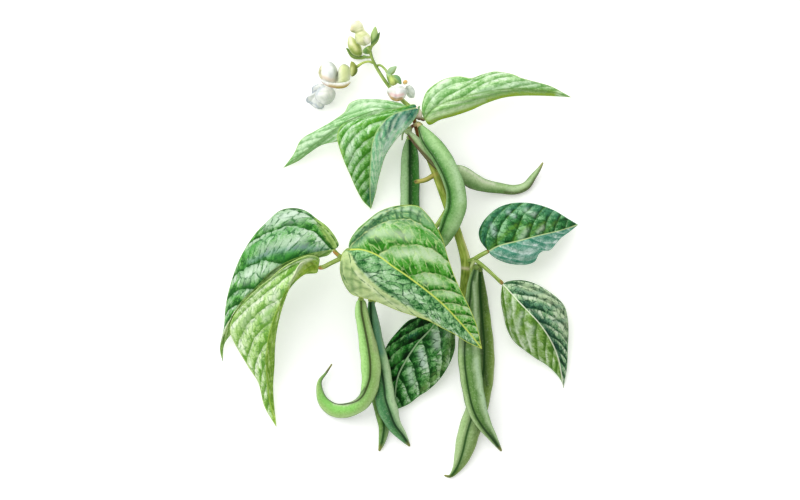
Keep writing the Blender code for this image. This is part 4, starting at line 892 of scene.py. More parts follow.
        ("#5D8C74", 1.3, 0.5, [(80.4, -31.8), (88.8, -34.8), (96.0, -33.6)]),
        ("#5D8C74", 1.2, 0.5, [(87.6, -42.0), (94.8, -43.2), (99.6, -42.0)]),
        ("#1F4A40", 1.6, 0.62, [
            (74.4, -30.0), (79.2, -36.0), (84.0, -40.8), (88.8, -48.0), (92.4, -55.2), (95.4, -62.4),
        ]),
        ("#C9DABF", 1.6, 0.6, [(67.8, -31.8), (65.4, -39.6)], [(73.2, -38.4), (69.6, -48.0)]),
        ("#CBDCC2", 1.8, 0.55, [(79.2, -46.8), (76.8, -56.4)]),
        ("#6C9238", 1.2, 0.5,
         [(70.8, -33.6), (67.8, -43.2)],
         [(76.2, -40.8), (72.6, -52.8)],
         [(84.0, -51.6), (84.0, -62.4)]),
    ],
    "leaflet_low_centre": [
        ("#021C06", 2.2, 0.6, [(24.0, -34.8), (14.4, -43.2), (6.0, -45.6)]),
        ("#021C06", 2.0, 0.55, [(14.4, -50.4), (4.8, -54.0), (-1.2, -55.2)]),
        ("#021C06", 1.6, 0.5, [(7.2, -58.8), (1.2, -63.6)]),
        # Painted highlights on the bulges between the dark side veins.
        ("#C6DACB", 2.2, 0.7, [(21.6, -50.4), (22.2, -57.6)]),
        ("#C9DED0", 2.0, 0.75, [(12.6, -61.2), (14.4, -69.6)]),
        ("#BCD8BC", 1.8, 0.65, [(6.0, -72.0), (7.2, -79.2)]),
        ("#9CC6A0", 1.8, 0.6, [(27.6, -39.6), (28.8, -50.4)]),
        ("#1A3E5A", 1.2, 0.35, [(4.8, -52.2), (9.6, -49.8)]),
        ("#7FA65A", 2.6, 0.55, [(31.8, -45.6), (30.0, -61.2), (24.0, -73.2), (14.4, -84.0)]),
        ("#4F9440", 1.8, 0.5, [(-2.4, -67.2), (0.0, -60.0), (-4.8, -57.6)]),
    ],
    "pod_upper_thick": [
        ("#A9C890", 0.9, 0.75, [
            (10.8, 73.2), (14.4, 63.6), (20.4, 55.2), (24.6, 47.4), (27.6, 34.8), (27.6, 25.2),
        ]),
        # Painted highlight down the right of the pod.
        ("#BBDAAE", 2.0, 0.5, [(31.2, 52.8), (34.8, 42.0), (36.6, 30.0)]),
        ("#4A8038", 1.6, 0.45, [(26.4, 8.4), (29.4, 6.0), (33.0, 10.8)]),
        ("#2A6A1E", 1.3, 0.66, [(14.4, 64.8), (21.6, 55.2), (26.4, 45.6), (29.4, 36.0), (29.4, 26.4)]),
    ],
    "pod_upper_curved": [
        ("#B9C9A6", 0.9, 0.6, [(4.8, 72.0), (10.8, 67.2), (16.8, 60.0), (22.2, 52.2)]),
        ("#5A3428", 0.7, 0.85, [(5.4, 68.4), (10.8, 61.8), (16.8, 55.2), (23.4, 48.6)]),
        ("#D3DBBE", 1.0, 0.75, [(36.6, 49.8), (43.2, 46.2), (49.8, 41.4), (56.4, 39.6)]),
        ("#4F8236", 1.6, 0.5, [(40.8, 40.8), (48.0, 36.6), (57.6, 34.8), (64.8, 36.0)]),
        ("#B4CBA0", 1.4, 0.5, [(64.8, 36.6), (72.0, 37.2), (78.0, 41.4)]),
        ("#4A3A26", 0.8, 0.6, [(63.0, 34.8), (70.8, 34.2), (78.0, 37.8), (82.2, 43.8)]),
    ],
    "pod_upper_back": [
        ("#16420F", 1.0, 0.6, [(6.6, 60.0), (6.6, 45.0), (6.0, 30.0)]),
        ("#A9C39C", 1.0, 0.55, [(2.4, 45.0), (1.8, 36.0), (1.8, 27.6)]),
    ],
    "pod_left_hooked": [
        ("#7FCB58", 3.0, 0.6, [(-46.8, -88.8), (-39.6, -95.4), (-28.8, -95.4)]),
        ("#B9DF96", 1.2, 0.55, [(-26.4, -31.2), (-25.8, -48.0), (-23.4, -66.0)]),
        ("#94A070", 1.8, 0.6, [(-19.2, -31.2), (-16.8, -43.2), (-15.0, -60.0)]),
        # Painted highlight along the inner edge of the hook.
        ("#E2E8CC", 0.9, 0.6, [(-39.6, -92.4), (-32.4, -93.0), (-25.8, -90.0)]),
        ("#2A4A18", 0.6, 0.7, [(-40.8, -91.2), (-33.0, -92.4), (-25.8, -88.8), (-21.0, -82.8)]),
        ("#6E5038", 0.8, 0.8, [(-43.8, -73.2), (-40.8, -68.4)]),
    ],
    "pod_left_middle": [
        ("#2F7A6A", 2.6, 0.7, [(-15.0, -32.4), (-13.2, -48.0), (-11.4, -61.2)]),
        ("#B9D6A9", 1.4, 0.55, [(-8.4, -75.6), (-4.8, -87.6), (-1.2, -100.8)]),
        ("#2A5F44", 1.8, 0.5, [(-13.2, -85.2), (-9.6, -96.0), (-4.8, -105.6)]),
    ],
    "pod_left_back": [
        # Painted shadow where the pod comes out from under the middle pod.
        ("#123F14", 3.0, 0.7, [(-13.2, -87.6), (-12.0, -97.2)]),
        ("#9CB986", 1.0, 0.5, [(-9.6, -106.8), (-11.4, -116.4)]),
    ],
    "pod_lower_front": [
        # Painted shadow under and beside the tip of the centre leaflet.
        ("#3F5E24", 2.4, 0.62, [(44.4, -12.0), (45.6, -24.0), (48.0, -39.6)]),
        ("#3F5E24", 1.6, 0.5, [(40.2, -30.0), (38.4, -42.0), (37.2, -57.6)]),
        ("#B4CCA0", 0.9, 0.7, [(43.8, -19.2), (45.0, -30.0), (45.0, -40.8)]),
        ("#AEC59A", 1.4, 0.5, [(42.0, -30.0), (37.8, -48.0), (37.8, -61.2)]),
        ("#B4D0B0", 1.4, 0.5, [(45.6, -66.0), (48.0, -82.8), (52.2, -97.2)]),
        ("#6E9060", 2.0, 0.4, [(38.4, -61.2), (45.6, -61.2)]),
        ("#2F5F20", 1.2, 0.6, [(55.2, -111.6), (60.0, -118.8)]),
    ],
    "pod_lower_back": [
        # Painted shadow beside the front pod.
        ("#33501A", 2.6, 0.6, [(49.2, -12.0), (50.4, -24.0), (51.6, -36.0)]),
        ("#16300A", 1.1, 0.75, [(48.0, -18.0), (48.6, -36.0), (49.2, -57.0), (52.2, -81.0)]),
        ("#93B074", 3.4, 0.75, [(45.6, -104.4), (40.8, -117.6), (34.8, -128.4)]),
        ("#4F6E30", 1.6, 0.5, [(52.2, -48.0), (52.8, -63.6), (52.2, -80.4)]),
        ("#8FA45C", 0.9, 0.6, [(55.2, -37.2), (56.4, -57.6), (55.8, -80.4)]),
        ("#A9C08C", 1.2, 0.5, [(42.0, -102.0), (36.6, -114.0), (33.6, -127.2)]),
        ("#5A3A30", 0.8, 0.5, [(43.2, -96.0), (49.2, -102.0), (53.4, -105.6)]),
    ],
    "main_stem": [
        ("#7A2410", 1.8, 0.9, [(7.8, 78.6), (9.6, 73.2), (10.8, 68.4)]),
        ("#C7A860", 1.2, 0.6, [(21.6, 45.6), (14.4, 42.0), (9.6, 40.8)]),
        ("#3A1E10", 0.9, 0.8, [(9.6, 41.4), (7.8, 40.2)]),
        ("#6A6A1E", 1.3, 0.6, [(24.6, 44.4), (28.8, 32.4), (31.2, 22.8)]),
        ("#B0B654", 1.0, 0.6, [(19.2, 49.2), (24.0, 37.2)]),
        ("#E7D7A8", 0.7, 0.5, [(37.8, 8.4), (40.8, -2.4), (42.0, -7.2)]),
        ("#A9BC4A", 1.6, 0.5, [(31.2, 24.0), (34.2, 10.8), (37.2, -3.6)]),
        ("#F0DEC0", 0.9, 0.7, [(37.2, -10.8), (42.0, -11.4)]),
        ("#5F7A20", 1.2, 0.5, [(38.4, -14.4), (37.2, -25.2)]),
    ],
    "leaf_stalk_top": [
        ("#FFEEE0", 2.4, 1.0, [(10.2, 86.4), (11.4, 82.8), (11.4, 81.0)]),
        ("#561806", 1.6, 1.0, [(7.8, 76.8), (9.6, 78.0), (12.0, 78.0), (15.0, 76.8)]),
    ],
    "pod_stalk_lower": [("#4F6A2A", 3.0, 0.8, [(43.2, -9.6), (46.2, -12.0)])],
    "pod_stalk_upper": [
        ("#DCC094", 2.2, 0.85, [(10.8, 75.0), (9.0, 74.4)]),
        ("#B4CC9A", 2.2, 0.9, [(5.4, 71.4), (2.4, 71.4), (0.6, 66.0)]),
        ("#5E1A0A", 1.2, 1.0, [(7.2, 75.0), (9.0, 71.4)]),
    ],
    "leaf_stalk_left": [
        ("#C98A44", 1.1, 0.85, [(-40.2, -1.2), (-37.8, -2.4)]),
        ("#C4683C", 0.9, 0.8, [(-48.0, -10.8), (-46.8, -12.0)]),
    ],
    "leaf_stalk_right": [
        ("#7A3018", 0.9, 0.85, [(52.8, 0.0), (54.0, -1.8)]),
        ("#8A4A20", 0.9, 0.75, [(60.6, -18.6), (61.8, -21.0)]),
        ("#DDE6AA", 0.9, 0.6, [(44.4, -7.2), (42.0, -10.2)]),
    ],
    "flower_stalk": [
        ("#3A5F16", 0.9, 0.6, [(-16.5, 120.0), (-15.6, 114.0), (-12.0, 108.0), (-7.2, 100.2)]),
        ("#8D9640", 3.0, 0.85, [(-28.8, 112.2), (-27.6, 108.0), (-28.2, 105.0)]),
        ("#DCE3A0", 1.0, 0.75, [(-29.1, 109.2), (-29.4, 105.6)]),
        ("#56661C", 0.8, 0.75, [(-26.4, 110.4), (-26.4, 106.8), (-28.2, 103.8)]),
        ("#C9D868", 1.2, 0.7, [(-24.0, 111.0), (-21.6, 112.2), (-19.2, 112.8)]),
        ("#3F6E1C", 1.4, 0.8, [(-31.8, 121.8), (-29.4, 118.5), (-26.4, 117.0), (-23.4, 117.0)]),
        ("#E3ECCB", 0.9, 0.75, [(-23.4, 120.6), (-22.8, 118.2)]),
        ("#4C8A4A", 1.2, 0.75, [(-21.0, 120.6), (-20.4, 117.0)]),
        ("#A6C47E", 2.0, 0.8, [(-15.6, 127.2), (-15.6, 131.4), (-15.0, 133.8)]),
        ("#2F6420", 0.9, 0.85, [(-17.1, 124.2), (-14.1, 127.2), (-12.3, 130.8)]),
        ("#A9C9A0", 1.8, 0.85, [(-6.6, 106.2), (-4.8, 108.6), (-3.0, 110.4)]),
        ("#5E9066", 1.5, 0.85, [(-2.4, 104.4), (0.0, 102.0), (0.6, 99.6)]),
        ("#C9D878", 1.4, 0.8, [(-5.4, 102.6), (-4.8, 100.2), (-3.0, 97.8)]),
        ("#4A7A30", 0.7, 0.7, [(-7.2, 103.2), (-6.6, 99.6)]),
    ],
    "flower_open_standard": [
        ("#DCE6A0", 4.2, 0.92, [(-33.6, 102.0), (-33.6, 109.2)]),
        ("#B4B04A", 1.0, 0.8, [(-48.0, 110.4), (-48.6, 106.8), (-47.4, 103.8)]),
        ("#6A6A2A", 0.5, 0.75, [(-47.7, 108.0), (-48.0, 106.2)]),
        ("#E6CDB0", 1.4, 0.75, [(-46.2, 103.8), (-41.4, 102.0), (-39.0, 102.0)]),
        # Painted shade down the right side of the left lobe.
        ("#A3AE9E", 1.3, 0.65, [(-41.4, 112.8), (-39.0, 109.8), (-38.4, 105.0), (-38.4, 102.0)]),
        ("#7E8460", 0.6, 0.75, [(-36.6, 110.4), (-37.6, 106.8), (-37.8, 102.0)]),
        ("#C6CFC6", 1.2, 0.5, [(-44.4, 110.4), (-42.0, 106.8), (-41.4, 103.8)]),
        ("#B4BE74", 0.9, 0.6, [(-35.4, 111.0), (-32.4, 111.6), (-30.0, 109.8)]),
    ],
    "flower_open_keel": [
        ("#B59C3C", 1.6, 1.0, [(-42.0, 98.0), (-37.8, 97.4), (-33.6, 97.6), (-30.0, 99.0)]),
        ("#8A7E3A", 0.5, 0.8, [(-39.0, 96.4), (-34.8, 96.2), (-31.2, 97.3)]),
        ("#C9A48C", 0.7, 0.75, [(-46.8, 100.2), (-43.2, 98.1), (-39.0, 97.2)]),
    ],
    "flower_open_wing_front": [
        ("#F3F5E8", 2.4, 0.6, [(-46.2, 92.4), (-43.8, 94.8)]),
        ("#A9B6BE", 0.7, 0.7, [(-50.1, 93.6), (-48.6, 96.9), (-45.6, 98.4)]),
        ("#C2CCBE", 1.0, 0.6, [(-40.8, 97.2), (-39.6, 93.6), (-42.0, 89.4), (-45.6, 87.6)]),
        ("#CDD6C6", 0.6, 0.55, [
            (-47.4, 95.4), (-43.2, 95.4), (-42.0, 91.8), (-45.0, 90.0), (-47.4, 91.8),
        ]),
    ],
    "flower_open_wing_back": [
        ("#9FAEC0", 0.8, 0.8, [(-53.4, 95.4), (-52.8, 98.4), (-49.2, 100.8)]),
        ("#8494A8", 0.5, 0.7, [(-52.8, 94.8), (-50.4, 96.0)]),
        ("#9FAEBC", 0.7, 0.75, [(-56.4, 92.4), (-55.8, 89.4), (-52.8, 88.2)]),
        ("#9FAEBC", 0.7, 0.7, [(-51.0, 87.6), (-48.6, 85.2), (-44.4, 86.4)]),
    ],
    "flower_half_standard": [
        ("#DDA854", 1.2, 0.95, [(-5.4, 90.9), (-2.4, 89.1), (1.2, 90.3)]),
        ("#A8844A", 0.5, 0.7, [(-7.2, 94.2), (-5.4, 91.6), (-2.4, 90.6), (1.2, 91.4)]),
        ("#E6B4B0", 1.0, 0.75, [(-5.4, 93.6), (-1.8, 92.4), (1.8, 93.3)]),
        ("#CFD2C4", 1.0, 0.55, [(-6.6, 96.0), (-3.6, 94.8)]),
        ("#C9CCC0", 0.8, 0.5, [(-1.2, 97.2), (2.4, 97.2)]),
    ],
    "flower_half_wing": [
        ("#C4D0BE", 3.5, 0.75, [(4.8, 97.2), (7.2, 93.0)]),
        ("#8FA392", 0.6, 0.6, [(4.2, 97.2), (6.6, 91.2)]),
    ],
    "flower_half_keel": [("#D6A03A", 1.6, 0.85, [(2.4, 100.8), (3.6, 101.4)])],
    "bud_top": [
        ("#EBD3B0", 1.6, 0.65, [(-30.0, 135.6), (-29.4, 132.6)]),
        ("#FAF6DC", 1.4, 0.6, [(-27.6, 136.2), (-24.0, 135.0)]),
        ("#8E9A50", 0.7, 0.75, [(-29.4, 131.4), (-26.4, 130.6), (-22.8, 132.0)]),
        ("#6E9238", 0.8, 0.8, [(-27.6, 130.2), (-27.3, 126.6), (-25.2, 123.0)]),
        ("#B4C26A", 1.0, 0.65, [(-25.2, 129.0), (-22.8, 128.4), (-20.4, 129.6)]),
        ("#C3CC86", 1.4, 0.6, [(-25.8, 126.0), (-24.0, 127.2), (-22.2, 125.4)]),
        ("#2F6E24", 0.9, 0.9, [(-25.8, 122.4), (-23.4, 121.2), (-20.4, 121.4)]),
        # Painted highlight on the right bulge.
        ("#FBF6E8", 1.3, 0.8, [(-20.4, 127.2), (-19.2, 124.2)]),
        ("#A9AE86", 0.5, 0.6, [(-21.6, 127.8), (-21.6, 124.8), (-20.4, 122.4)]),
    ],
    "bud_left": [
        ("#7E9A34", 1.4, 0.8, [(-29.4, 120.0), (-26.4, 117.6), (-23.4, 118.2)]),
        ("#F6F3D4", 1.4, 0.8, [(-30.0, 127.8), (-29.4, 124.2)]),
        ("#E6E6A8", 1.2, 0.7, [(-27.6, 123.6), (-26.4, 120.6)]),
        ("#A6B45E", 0.7, 0.7, [(-27.6, 125.4), (-25.2, 122.4), (-23.4, 120.0)]),
    ],
}

# The tint of each pod's seam, and its shades round its girth in degrees: 0 is the table side, 90 its right
# # side, 180 the top and 270 its left side. The shades are partly the pod's own tints and partly painted
# light
# # and shade: painted highlights in bands along it and painted shade towards the table side and the edges.
POD_LOOKS = {
    "pod_upper_thick": {
        "seam": "#1F4A14",
        "shades": [
            (0, "#3C6E2A"), (80, "#9CC280"), (112, "#7CAC62"), (135, "#2F6E22"), (158, "#649A4E"),
            (205, "#A4CC8C"), (240, "#86B46C"), (270, "#548A3E"), (285, "#3C6E2A"),
        ],
    },
    "pod_upper_curved": {
        "seam": "#5A3428",
        "shades": [
            (0, "#3A5A26"), (85, "#4A3820"), (112, "#6C8A50"), (150, "#84A868"), (198, "#B0CA94"),
            (240, "#8AAE70"), (270, "#5C8440"),
        ],
    },
    "pod_upper_back": {
        "seam": "#123A0E",
        "shades": [
            (0, "#2A5A20"), (80, "#6A9C5C"), (125, "#A2C692"), (165, "#8FB87E"), (178, "#164410"),
            (200, "#2A6A1E"), (235, "#559648"), (275, "#1C5414"),
        ],
    },
    "pod_left_hooked": {
        "seam": "#33401A",
        "shades": [
            (0, "#4F8A30"), (80, "#A9D880"), (125, "#A9DA84"), (165, "#93C66C"), (195, "#93BC68"),
            (235, "#B0D088"), (275, "#6E9844"),
        ],
    },
    "pod_left_middle": {
        "seam": "#0C3414",
        "shades": [
            (0, "#0C4A24"), (85, "#2F7040"), (130, "#5F9A60"), (170, "#4A8A4A"), (195, "#8ABA7E"),
            (235, "#C0DCAC"), (275, "#86B070"),
        ],
    },
    "pod_left_back": {
        "seam": "#1F4A14",
        "shades": [
            (0, "#2F5E1A"), (90, "#7CA254"), (150, "#74A04C"), (185, "#56863A"), (230, "#9CBC7C"),
            (275, "#4F7A30"),
        ],
    },
    "pod_lower_front": {
        "seam": "#1A3E12",
        "shades": [
            (0, "#2A5214"), (78, "#456C26"), (115, "#A9C68A"), (155, "#6F984E"), (190, "#5A8240"),
            (222, "#B2D09A"), (252, "#729C50"), (278, "#1C4A0E"),
        ],
    },
    "pod_lower_back": {
        "seam": "#1F4A14",
        "shades": [
            (0, "#2A4E18"), (85, "#B0C890"), (130, "#A2C084"), (170, "#84A65E"), (200, "#5F8030"),
            (235, "#769442"), (275, "#9CB262"),
        ],
    },
}


def colour(hexed):
    """An sRGB hex colour as the linear values that light is worked out with."""
    channels = [int(hexed[start : start + 2], 16) / 255 for start in (1, 3, 5)]
    return (*[c / 12.92 if c <= 0.04045 else ((c + 0.055) / 1.055) ** 2.4 for c in channels], 1.0)


def node(tree, kind, inputs=None, stops=None, **settings):
    """Adds a node with its settings. An input is set to a value, or linked if it is another node's socket.
    The stops are those of a colour ramp, from its start."""
    new = tree.nodes.new(kind)
    for key, value in settings.items():
        setattr(new, key, value)
    for key, value in (inputs or {}).items():
        if isinstance(value, bpy.types.NodeSocket):
            tree.links.new(value, new.inputs[key])
        else:
            new.inputs[key].default_value = value
    if stops:
        ramp = new.color_ramp.elements
        ramp.remove(ramp[1])
        for number, (place, hexed) in enumerate(stops):
            stop = ramp.new(place) if number else ramp[0]
            stop.position, stop.color = place, colour(hexed)
    return new


def new_finish(name):
    """A material with only its shader, the place on the object in millimetres, and the piece's washes."""
    finish = bpy.data.materials.new(name)
    finish.use_nodes = True
    tree = finish.node_tree
    shader = tree.nodes["Principled BSDF"]
    place = node(tree, "ShaderNodeTexCoord").outputs["Object"]
    in_mm = node(tree, "ShaderNodeVectorMath", {0: place, "Scale": 1 / MM}, operation="SCALE").outputs[0]
    wash = node(tree, "ShaderNodeAttribute", attribute_name="wash")
    return finish, tree, shader, in_mm, wash


def under_wash(tree, base, wash, grain=None):
    """The skin's colour with the washes over it. A grain, where there is one, shows through them."""
    cover = wash.outputs["Alpha"]
    if grain:
        share = node(tree, "ShaderNodeMath", {0: grain, 1: 0.9, 2: 0.55}, operation="MULTIPLY_ADD")
        cover = node(
            tree, "ShaderNodeMath", {0: share.outputs[0], 1: cover}, operation="MULTIPLY", use_clamp=True
        ).outputs[0]
    return node(
        tree, "ShaderNodeMix", {0: cover, 6: base, 7: wash.outputs["Color"]}, data_type="RGBA"
    ).outputs[2]


def vein_places(tree, in_mm, vein_step, vein_gap):
    """Where a spot lies among the side veins: the count of veins passed, its share of the way to the next,
    and the distance in millimetres to the nearest vein and to the next one."""
    waver = node(tree, "ShaderNodeTexNoise", {"Vector": in_mm, "Scale": 1 / VEIN_WAVER, "Detail": 2.0})
    step = node(
        tree, "ShaderNodeMath", {0: waver.outputs["Fac"], 1: 0.3, 2: vein_step}, operation="MULTIPLY_ADD"
    ).outputs[0]
    part = node(tree, "ShaderNodeMath", {0: step}, operation="FRACT").outputs[0]
    ahead = node(tree, "ShaderNodeMath", {0: 1.0, 1: part}, operation="SUBTRACT").outputs[0]
    nearest = node(tree, "ShaderNodeMath", {0: step, 1: 0.5}, operation="PINGPONG").outputs[0]
    off_vein, before_vein = (
        node(tree, "ShaderNodeMath", {0: share, 1: vein_gap}, operation="MULTIPLY").outputs[0]
        for share in (nearest, ahead)
    )
    return step, part, off_vein, before_vein


def veinlet_places(tree, in_mm, step, run_mm):
    """The veinlets that run like rungs from vein to vein: how they bend, a shade for each cell between
    them, the distance to the nearest one, and the teeth in which the painted shade beside a vein ends."""
    # They run in a different beat in each field between two side veins.
    field = node(tree, "ShaderNodeMath", {0: step}, operation="FLOOR").outputs[0]
    beat = node(tree, "ShaderNodeTexWhiteNoise", {"W": field}, noise_dimensions="1D").outputs["Value"]
    bend = node(
        tree, "ShaderNodeTexNoise", {"Vector": in_mm, "Scale": 1 / VEINLET_BEND, "Detail": 3.0}
    ).outputs["Fac"]
    rungs = beat
    for value, weight in ((run_mm, 1 / VEINLET_GAP), (bend, 0.7)):
        rungs = node(
            tree, "ShaderNodeMath", {0: value, 1: weight, 2: rungs}, operation="MULTIPLY_ADD"
        ).outputs[0]
    across = node(tree, "ShaderNodeMath", {0: step, 1: 1.7}, operation="MULTIPLY").outputs[0]
    rung_place, cell_place = (
        node(tree, "ShaderNodeCombineXYZ", {0: rungs, 1: count, 2: 0.0}).outputs[0]
        for count in (step, across)
    )
    cells, rung = (
        node(
            tree,
            "ShaderNodeTexVoronoi",
            {"Vector": cell_place, "Scale": 1.0, "Randomness": 0.85},
            voronoi_dimensions="2D",
            feature=feature,
        ).outputs[output]
        for feature, output in (("F1", "Color"), ("DISTANCE_TO_EDGE", "Distance"))
    )
    teeth = node(
        tree,
        "ShaderNodeTexNoise",
        {"Vector": rung_place, "Scale": 0.9, "Detail": 3.0},
        noise_dimensions="2D",
    ).outputs["Fac"]
    return bend, cells, rung, teeth


def under_lines(tree, base, side, lines):
    """The skin's colour with lines over it, and how far each covers it. A line has the distance to it, its
    width, tint and strength for the left and the right half, and what thins it."""
    covers = []
    for away, width, (left, right), thinned_by in lines:
        tint = node(
            tree, "ShaderNodeMix", {0: side, 6: colour(left[0]), 7: colour(right[0])}, data_type="RGBA"
        ).outputs[2]
        strength = node(tree, "ShaderNodeMix", {0: side, 2: left[1], 3: right[1]}).outputs[0]
        cover = node(
            tree,
            "ShaderNodeMapRange",
            {"Value": away, "From Min": 0.35 * width, "From Max": width, "To Min": strength, "To Max": 0.0},
            interpolation_type="SMOOTHSTEP",
        ).outputs[0]
        for share in thinned_by:
            cover = node(tree, "ShaderNodeMath", {0: cover, 1: share}, operation="MULTIPLY").outputs[0]
        base = node(tree, "ShaderNodeMix", {0: cover, 6: base, 7: tint}, data_type="RGBA").outputs[2]
        covers.append(cover)
    return base, covers


def leaf_finish(name, look):
    """Leaf skin, softly waxed, with painted light and shade: a painted highlight on the tip side of each
    side vein and painted shade, deep green, on its base side, as a lamp from the upper left lights the
    quilted bulges, with a broken net of fine veinlets between the veins and a closer one that only shows as
    grain."""
    finish, tree, shader, in_mm, wash = new_finish(name)
    side, vein_step, vein_gap, run_mm, mid_mm, edge_mm = (
        node(tree, "ShaderNodeAttribute", attribute_name=stored).outputs["Fac"]
        for stored in ("side", "vein_step", "vein_gap", "run_mm", "mid_mm", "edge_mm")
    )
    step, part, off_vein, before_vein = vein_places(tree, in_mm, vein_step, vein_gap)
    bend, cells, rung, teeth = veinlet_places(tree, in_mm, step, run_mm)
    patches, grain = (
        node(
            tree,
            "ShaderNodeTexNoise",
            {"Vector": in_mm, "Scale": 1 / width, "Detail": detail, "Roughness": roughness},
        ).outputs["Fac"]
        for width, detail, roughness in ((PATCH_WIDTH, 5.0, 0.62), (GRAIN_WIDTH, 3.0, 0.7))
    )
    # How deep the green is: painted shade beside the sunken midrib and before a side vein, and random
    # patches.
    fields = node(tree, "ShaderNodeMix", {0: side, 2: look["fields"][0], 3: look["fields"][1]}).outputs[0]
    tilt = node(tree, "ShaderNodeMath", {0: part, 1: 0.5}, operation="SUBTRACT").outputs[0]
    tilt = node(tree, "ShaderNodeMath", {0: tilt, 1: fields}, operation="MULTIPLY").outputs[0]
    painted_shade_and_tone = node(
        tree,
        "ShaderNodeMapRange",
        {"Value": mid_mm, "From Min": 0.5, "From Max": 9.0, "To Min": 0.22, "To Max": 0.0},
    ).outputs[0]
    for value, weight in ((tilt, 0.75), (teeth, 0.9), (patches, 1.3), (grain, 1.1), (cells, 0.55)):
        painted_shade_and_tone = node(
            tree, "ShaderNodeMath", {0: value, 1: weight, 2: painted_shade_and_tone}, operation="MULTIPLY_ADD"
        ).outputs[0]
    painted_shade_and_tone = node(tree, "ShaderNodeMapRange", {"Value": painted_shade_and_tone, "From Min": 1.5, "From Max": 2.36}).outputs[0]
    halves = []
    for shades in look["shades"]:
        stops = list(zip((0.0, 0.32, 0.68, 1.0), shades, strict=True))
        halves.append(node(tree, "ShaderNodeValToRGB", {"Fac": painted_shade_and_tone}, stops).outputs["Color"])
    base = node(tree, "ShaderNodeMix", {0: side, 6: halves[0], 7: halves[1]}, data_type="RGBA").outputs[2]
    base = under_wash(tree, base, wash, grain)
    # Veinlets break off here and there, and stay away from the parts with a strong wash.
    broken, bare = (
        node(
            tree,
            "ShaderNodeMapRange",
            {"Value": value, "From Min": low, "From Max": high, "To Min": at_low, "To Max": at_high},
        ).outputs[0]
        for value, low, high, at_low, at_high in (
            (bend, 0.4, 0.6, 0.1, 1.0),
            (wash.outputs["Alpha"], 0.62, 0.84, 1.0, 0.2),
        )
    )
    # Lines over the skin: veinlets, the painted shade before a side vein, side veins, midrib and rim.
    lines = (
        (rung, 0.13, look["net"], (broken, bare)),
        (before_vein, 2.2, [(shades[-1], 0.75) for shades in look["shades"]], (fields, broken, bare)),
        (off_vein, 0.5, look["veins"], (broken,)),
        (mid_mm, 0.62, [look["midrib"]] * 2, ()),
        (edge_mm, 0.6, [look["rim"]] * 2, ()),
    )
    base, covers = under_lines(tree, base, side, lines)
    tree.links.new(base, shader.inputs["Base Color"])
    rough = node(tree, "ShaderNodeMapRange", {"Value": grain, "To Min": 0.5, "To Max": 0.72}).outputs[0]
    tree.links.new(rough, shader.inputs["Roughness"])
    shader.inputs["Specular IOR Level"].default_value = 0.1
    # The grain stands up, and veinlets, the closer net and side veins are sunk.
    net = node(
        tree, "ShaderNodeTexVoronoi", {"Vector": in_mm, "Scale": 1 / NET_WIDTH}, feature="DISTANCE_TO_EDGE"
    ).outputs["Distance"]
    height = grain
    for value, weight in ((covers[0], -1.2), (net, 0.8), (covers[2], -0.8)):
        height = node(
            tree, "ShaderNodeMath", {0: value, 1: weight, 2: height}, operation="MULTIPLY_ADD"
        ).outputs[0]
    bump = node(tree, "ShaderNodeBump", {"Height": height, "Strength": 0.6, "Distance": 0.4 * MM})
    tree.links.new(bump.outputs[0], shader.inputs["Normal"])
    return finish


def pod_finish(name, look):
    """Pod skin, taut, faintly waxed: green with fine specks, a dark seam and a fainter one behind, with
    painted light and shade round its girth and painted shade on its lower side.
    """
    finish, tree, shader, in_mm, wash = new_finish(name)
    leftward, upward, opposite_mm, seam_mm, end_mm = (
        node(tree, "ShaderNodeAttribute", attribute_name=stored).outputs["Fac"]
        for stored in ("leftward", "upward", "opposite_mm", "seam_mm", "end_mm")
    )
    turn = node(tree, "ShaderNodeMath", {0: leftward, 1: upward}, operation="ARCTAN2").outputs[0]
    cloud = node(
        tree, "ShaderNodeTexNoise", {"Vector": in_mm, "Scale": 1 / POD_CLOUD, "Detail": 3.0}
    ).outputs["Fac"]
    turn = node(
        tree, "ShaderNodeMath", {0: cloud, 1: POD_SWAY, 2: turn}, operation="MULTIPLY_ADD"
    ).outputs[0]
    # From half a turn right of the top to half a turn left of it, moved by the middle value of the cloud.
    low, high = POD_SWAY / 2 - np.pi, POD_SWAY / 2 + np.pi
    turn = node(tree, "ShaderNodeMapRange", {"Value": turn, "From Min": low, "From Max": high}).outputs[0]
    stops = [(angle / 360, hexed) for angle, hexed in look["shades"]]
    stops.append((1.0, stops[0][1]))
    base = node(tree, "ShaderNodeValToRGB", {"Fac": turn}, stops).outputs["Color"]
    speck = node(
        tree,
        "ShaderNodeTexNoise",
        {"Vector": in_mm, "Scale": 1 / POD_SPECK, "Detail": 4.0, "Roughness": 0.75},
    ).outputs["Fac"]
    base = under_wash(tree, base, wash, speck)
    # Light and dark specks, painted shade on the lower side, the fainter and the main seam, and the paler
    # beak.
    for value, low, high, strength, tint in (
        (speck, 0.5, 0.75, 0.34, "#D3E8BC"),
        (speck, 0.5, 0.25, 0.4, "#1F5214"),
        (upward, 0.5, -0.1, 0.5, "#2A5A1C"),
        (opposite_mm, 0.6, 0.15, 0.35, look["seam"]),
        (seam_mm, 2.6, 0.9, 0.4, look["seam"]),
        (seam_mm, 0.95, 0.4, 0.9, look["seam"]),
        (end_mm, 6.0, 0.0, 0.6, "#A9A860"),
    ):
        cover = node(
            tree,
            "ShaderNodeMapRange",
            {"Value": value, "From Min": low, "From Max": high, "To Min": 0.0, "To Max": strength},
            interpolation_type="SMOOTHSTEP",
        ).outputs[0]
        base = node(
            tree, "ShaderNodeMix", {0: cover, 6: base, 7: colour(tint)}, data_type="RGBA"
        ).outputs[2]
    tree.links.new(base, shader.inputs["Base Color"])
    shader.inputs["Roughness"].default_value = 0.48
    shader.inputs["Specular IOR Level"].default_value = 0.14
    bump = node(tree, "ShaderNodeBump", {"Height": speck, "Strength": 0.35, "Distance": 0.3 * MM})
    tree.links.new(bump.outputs[0], shader.inputs["Normal"])
    return finish


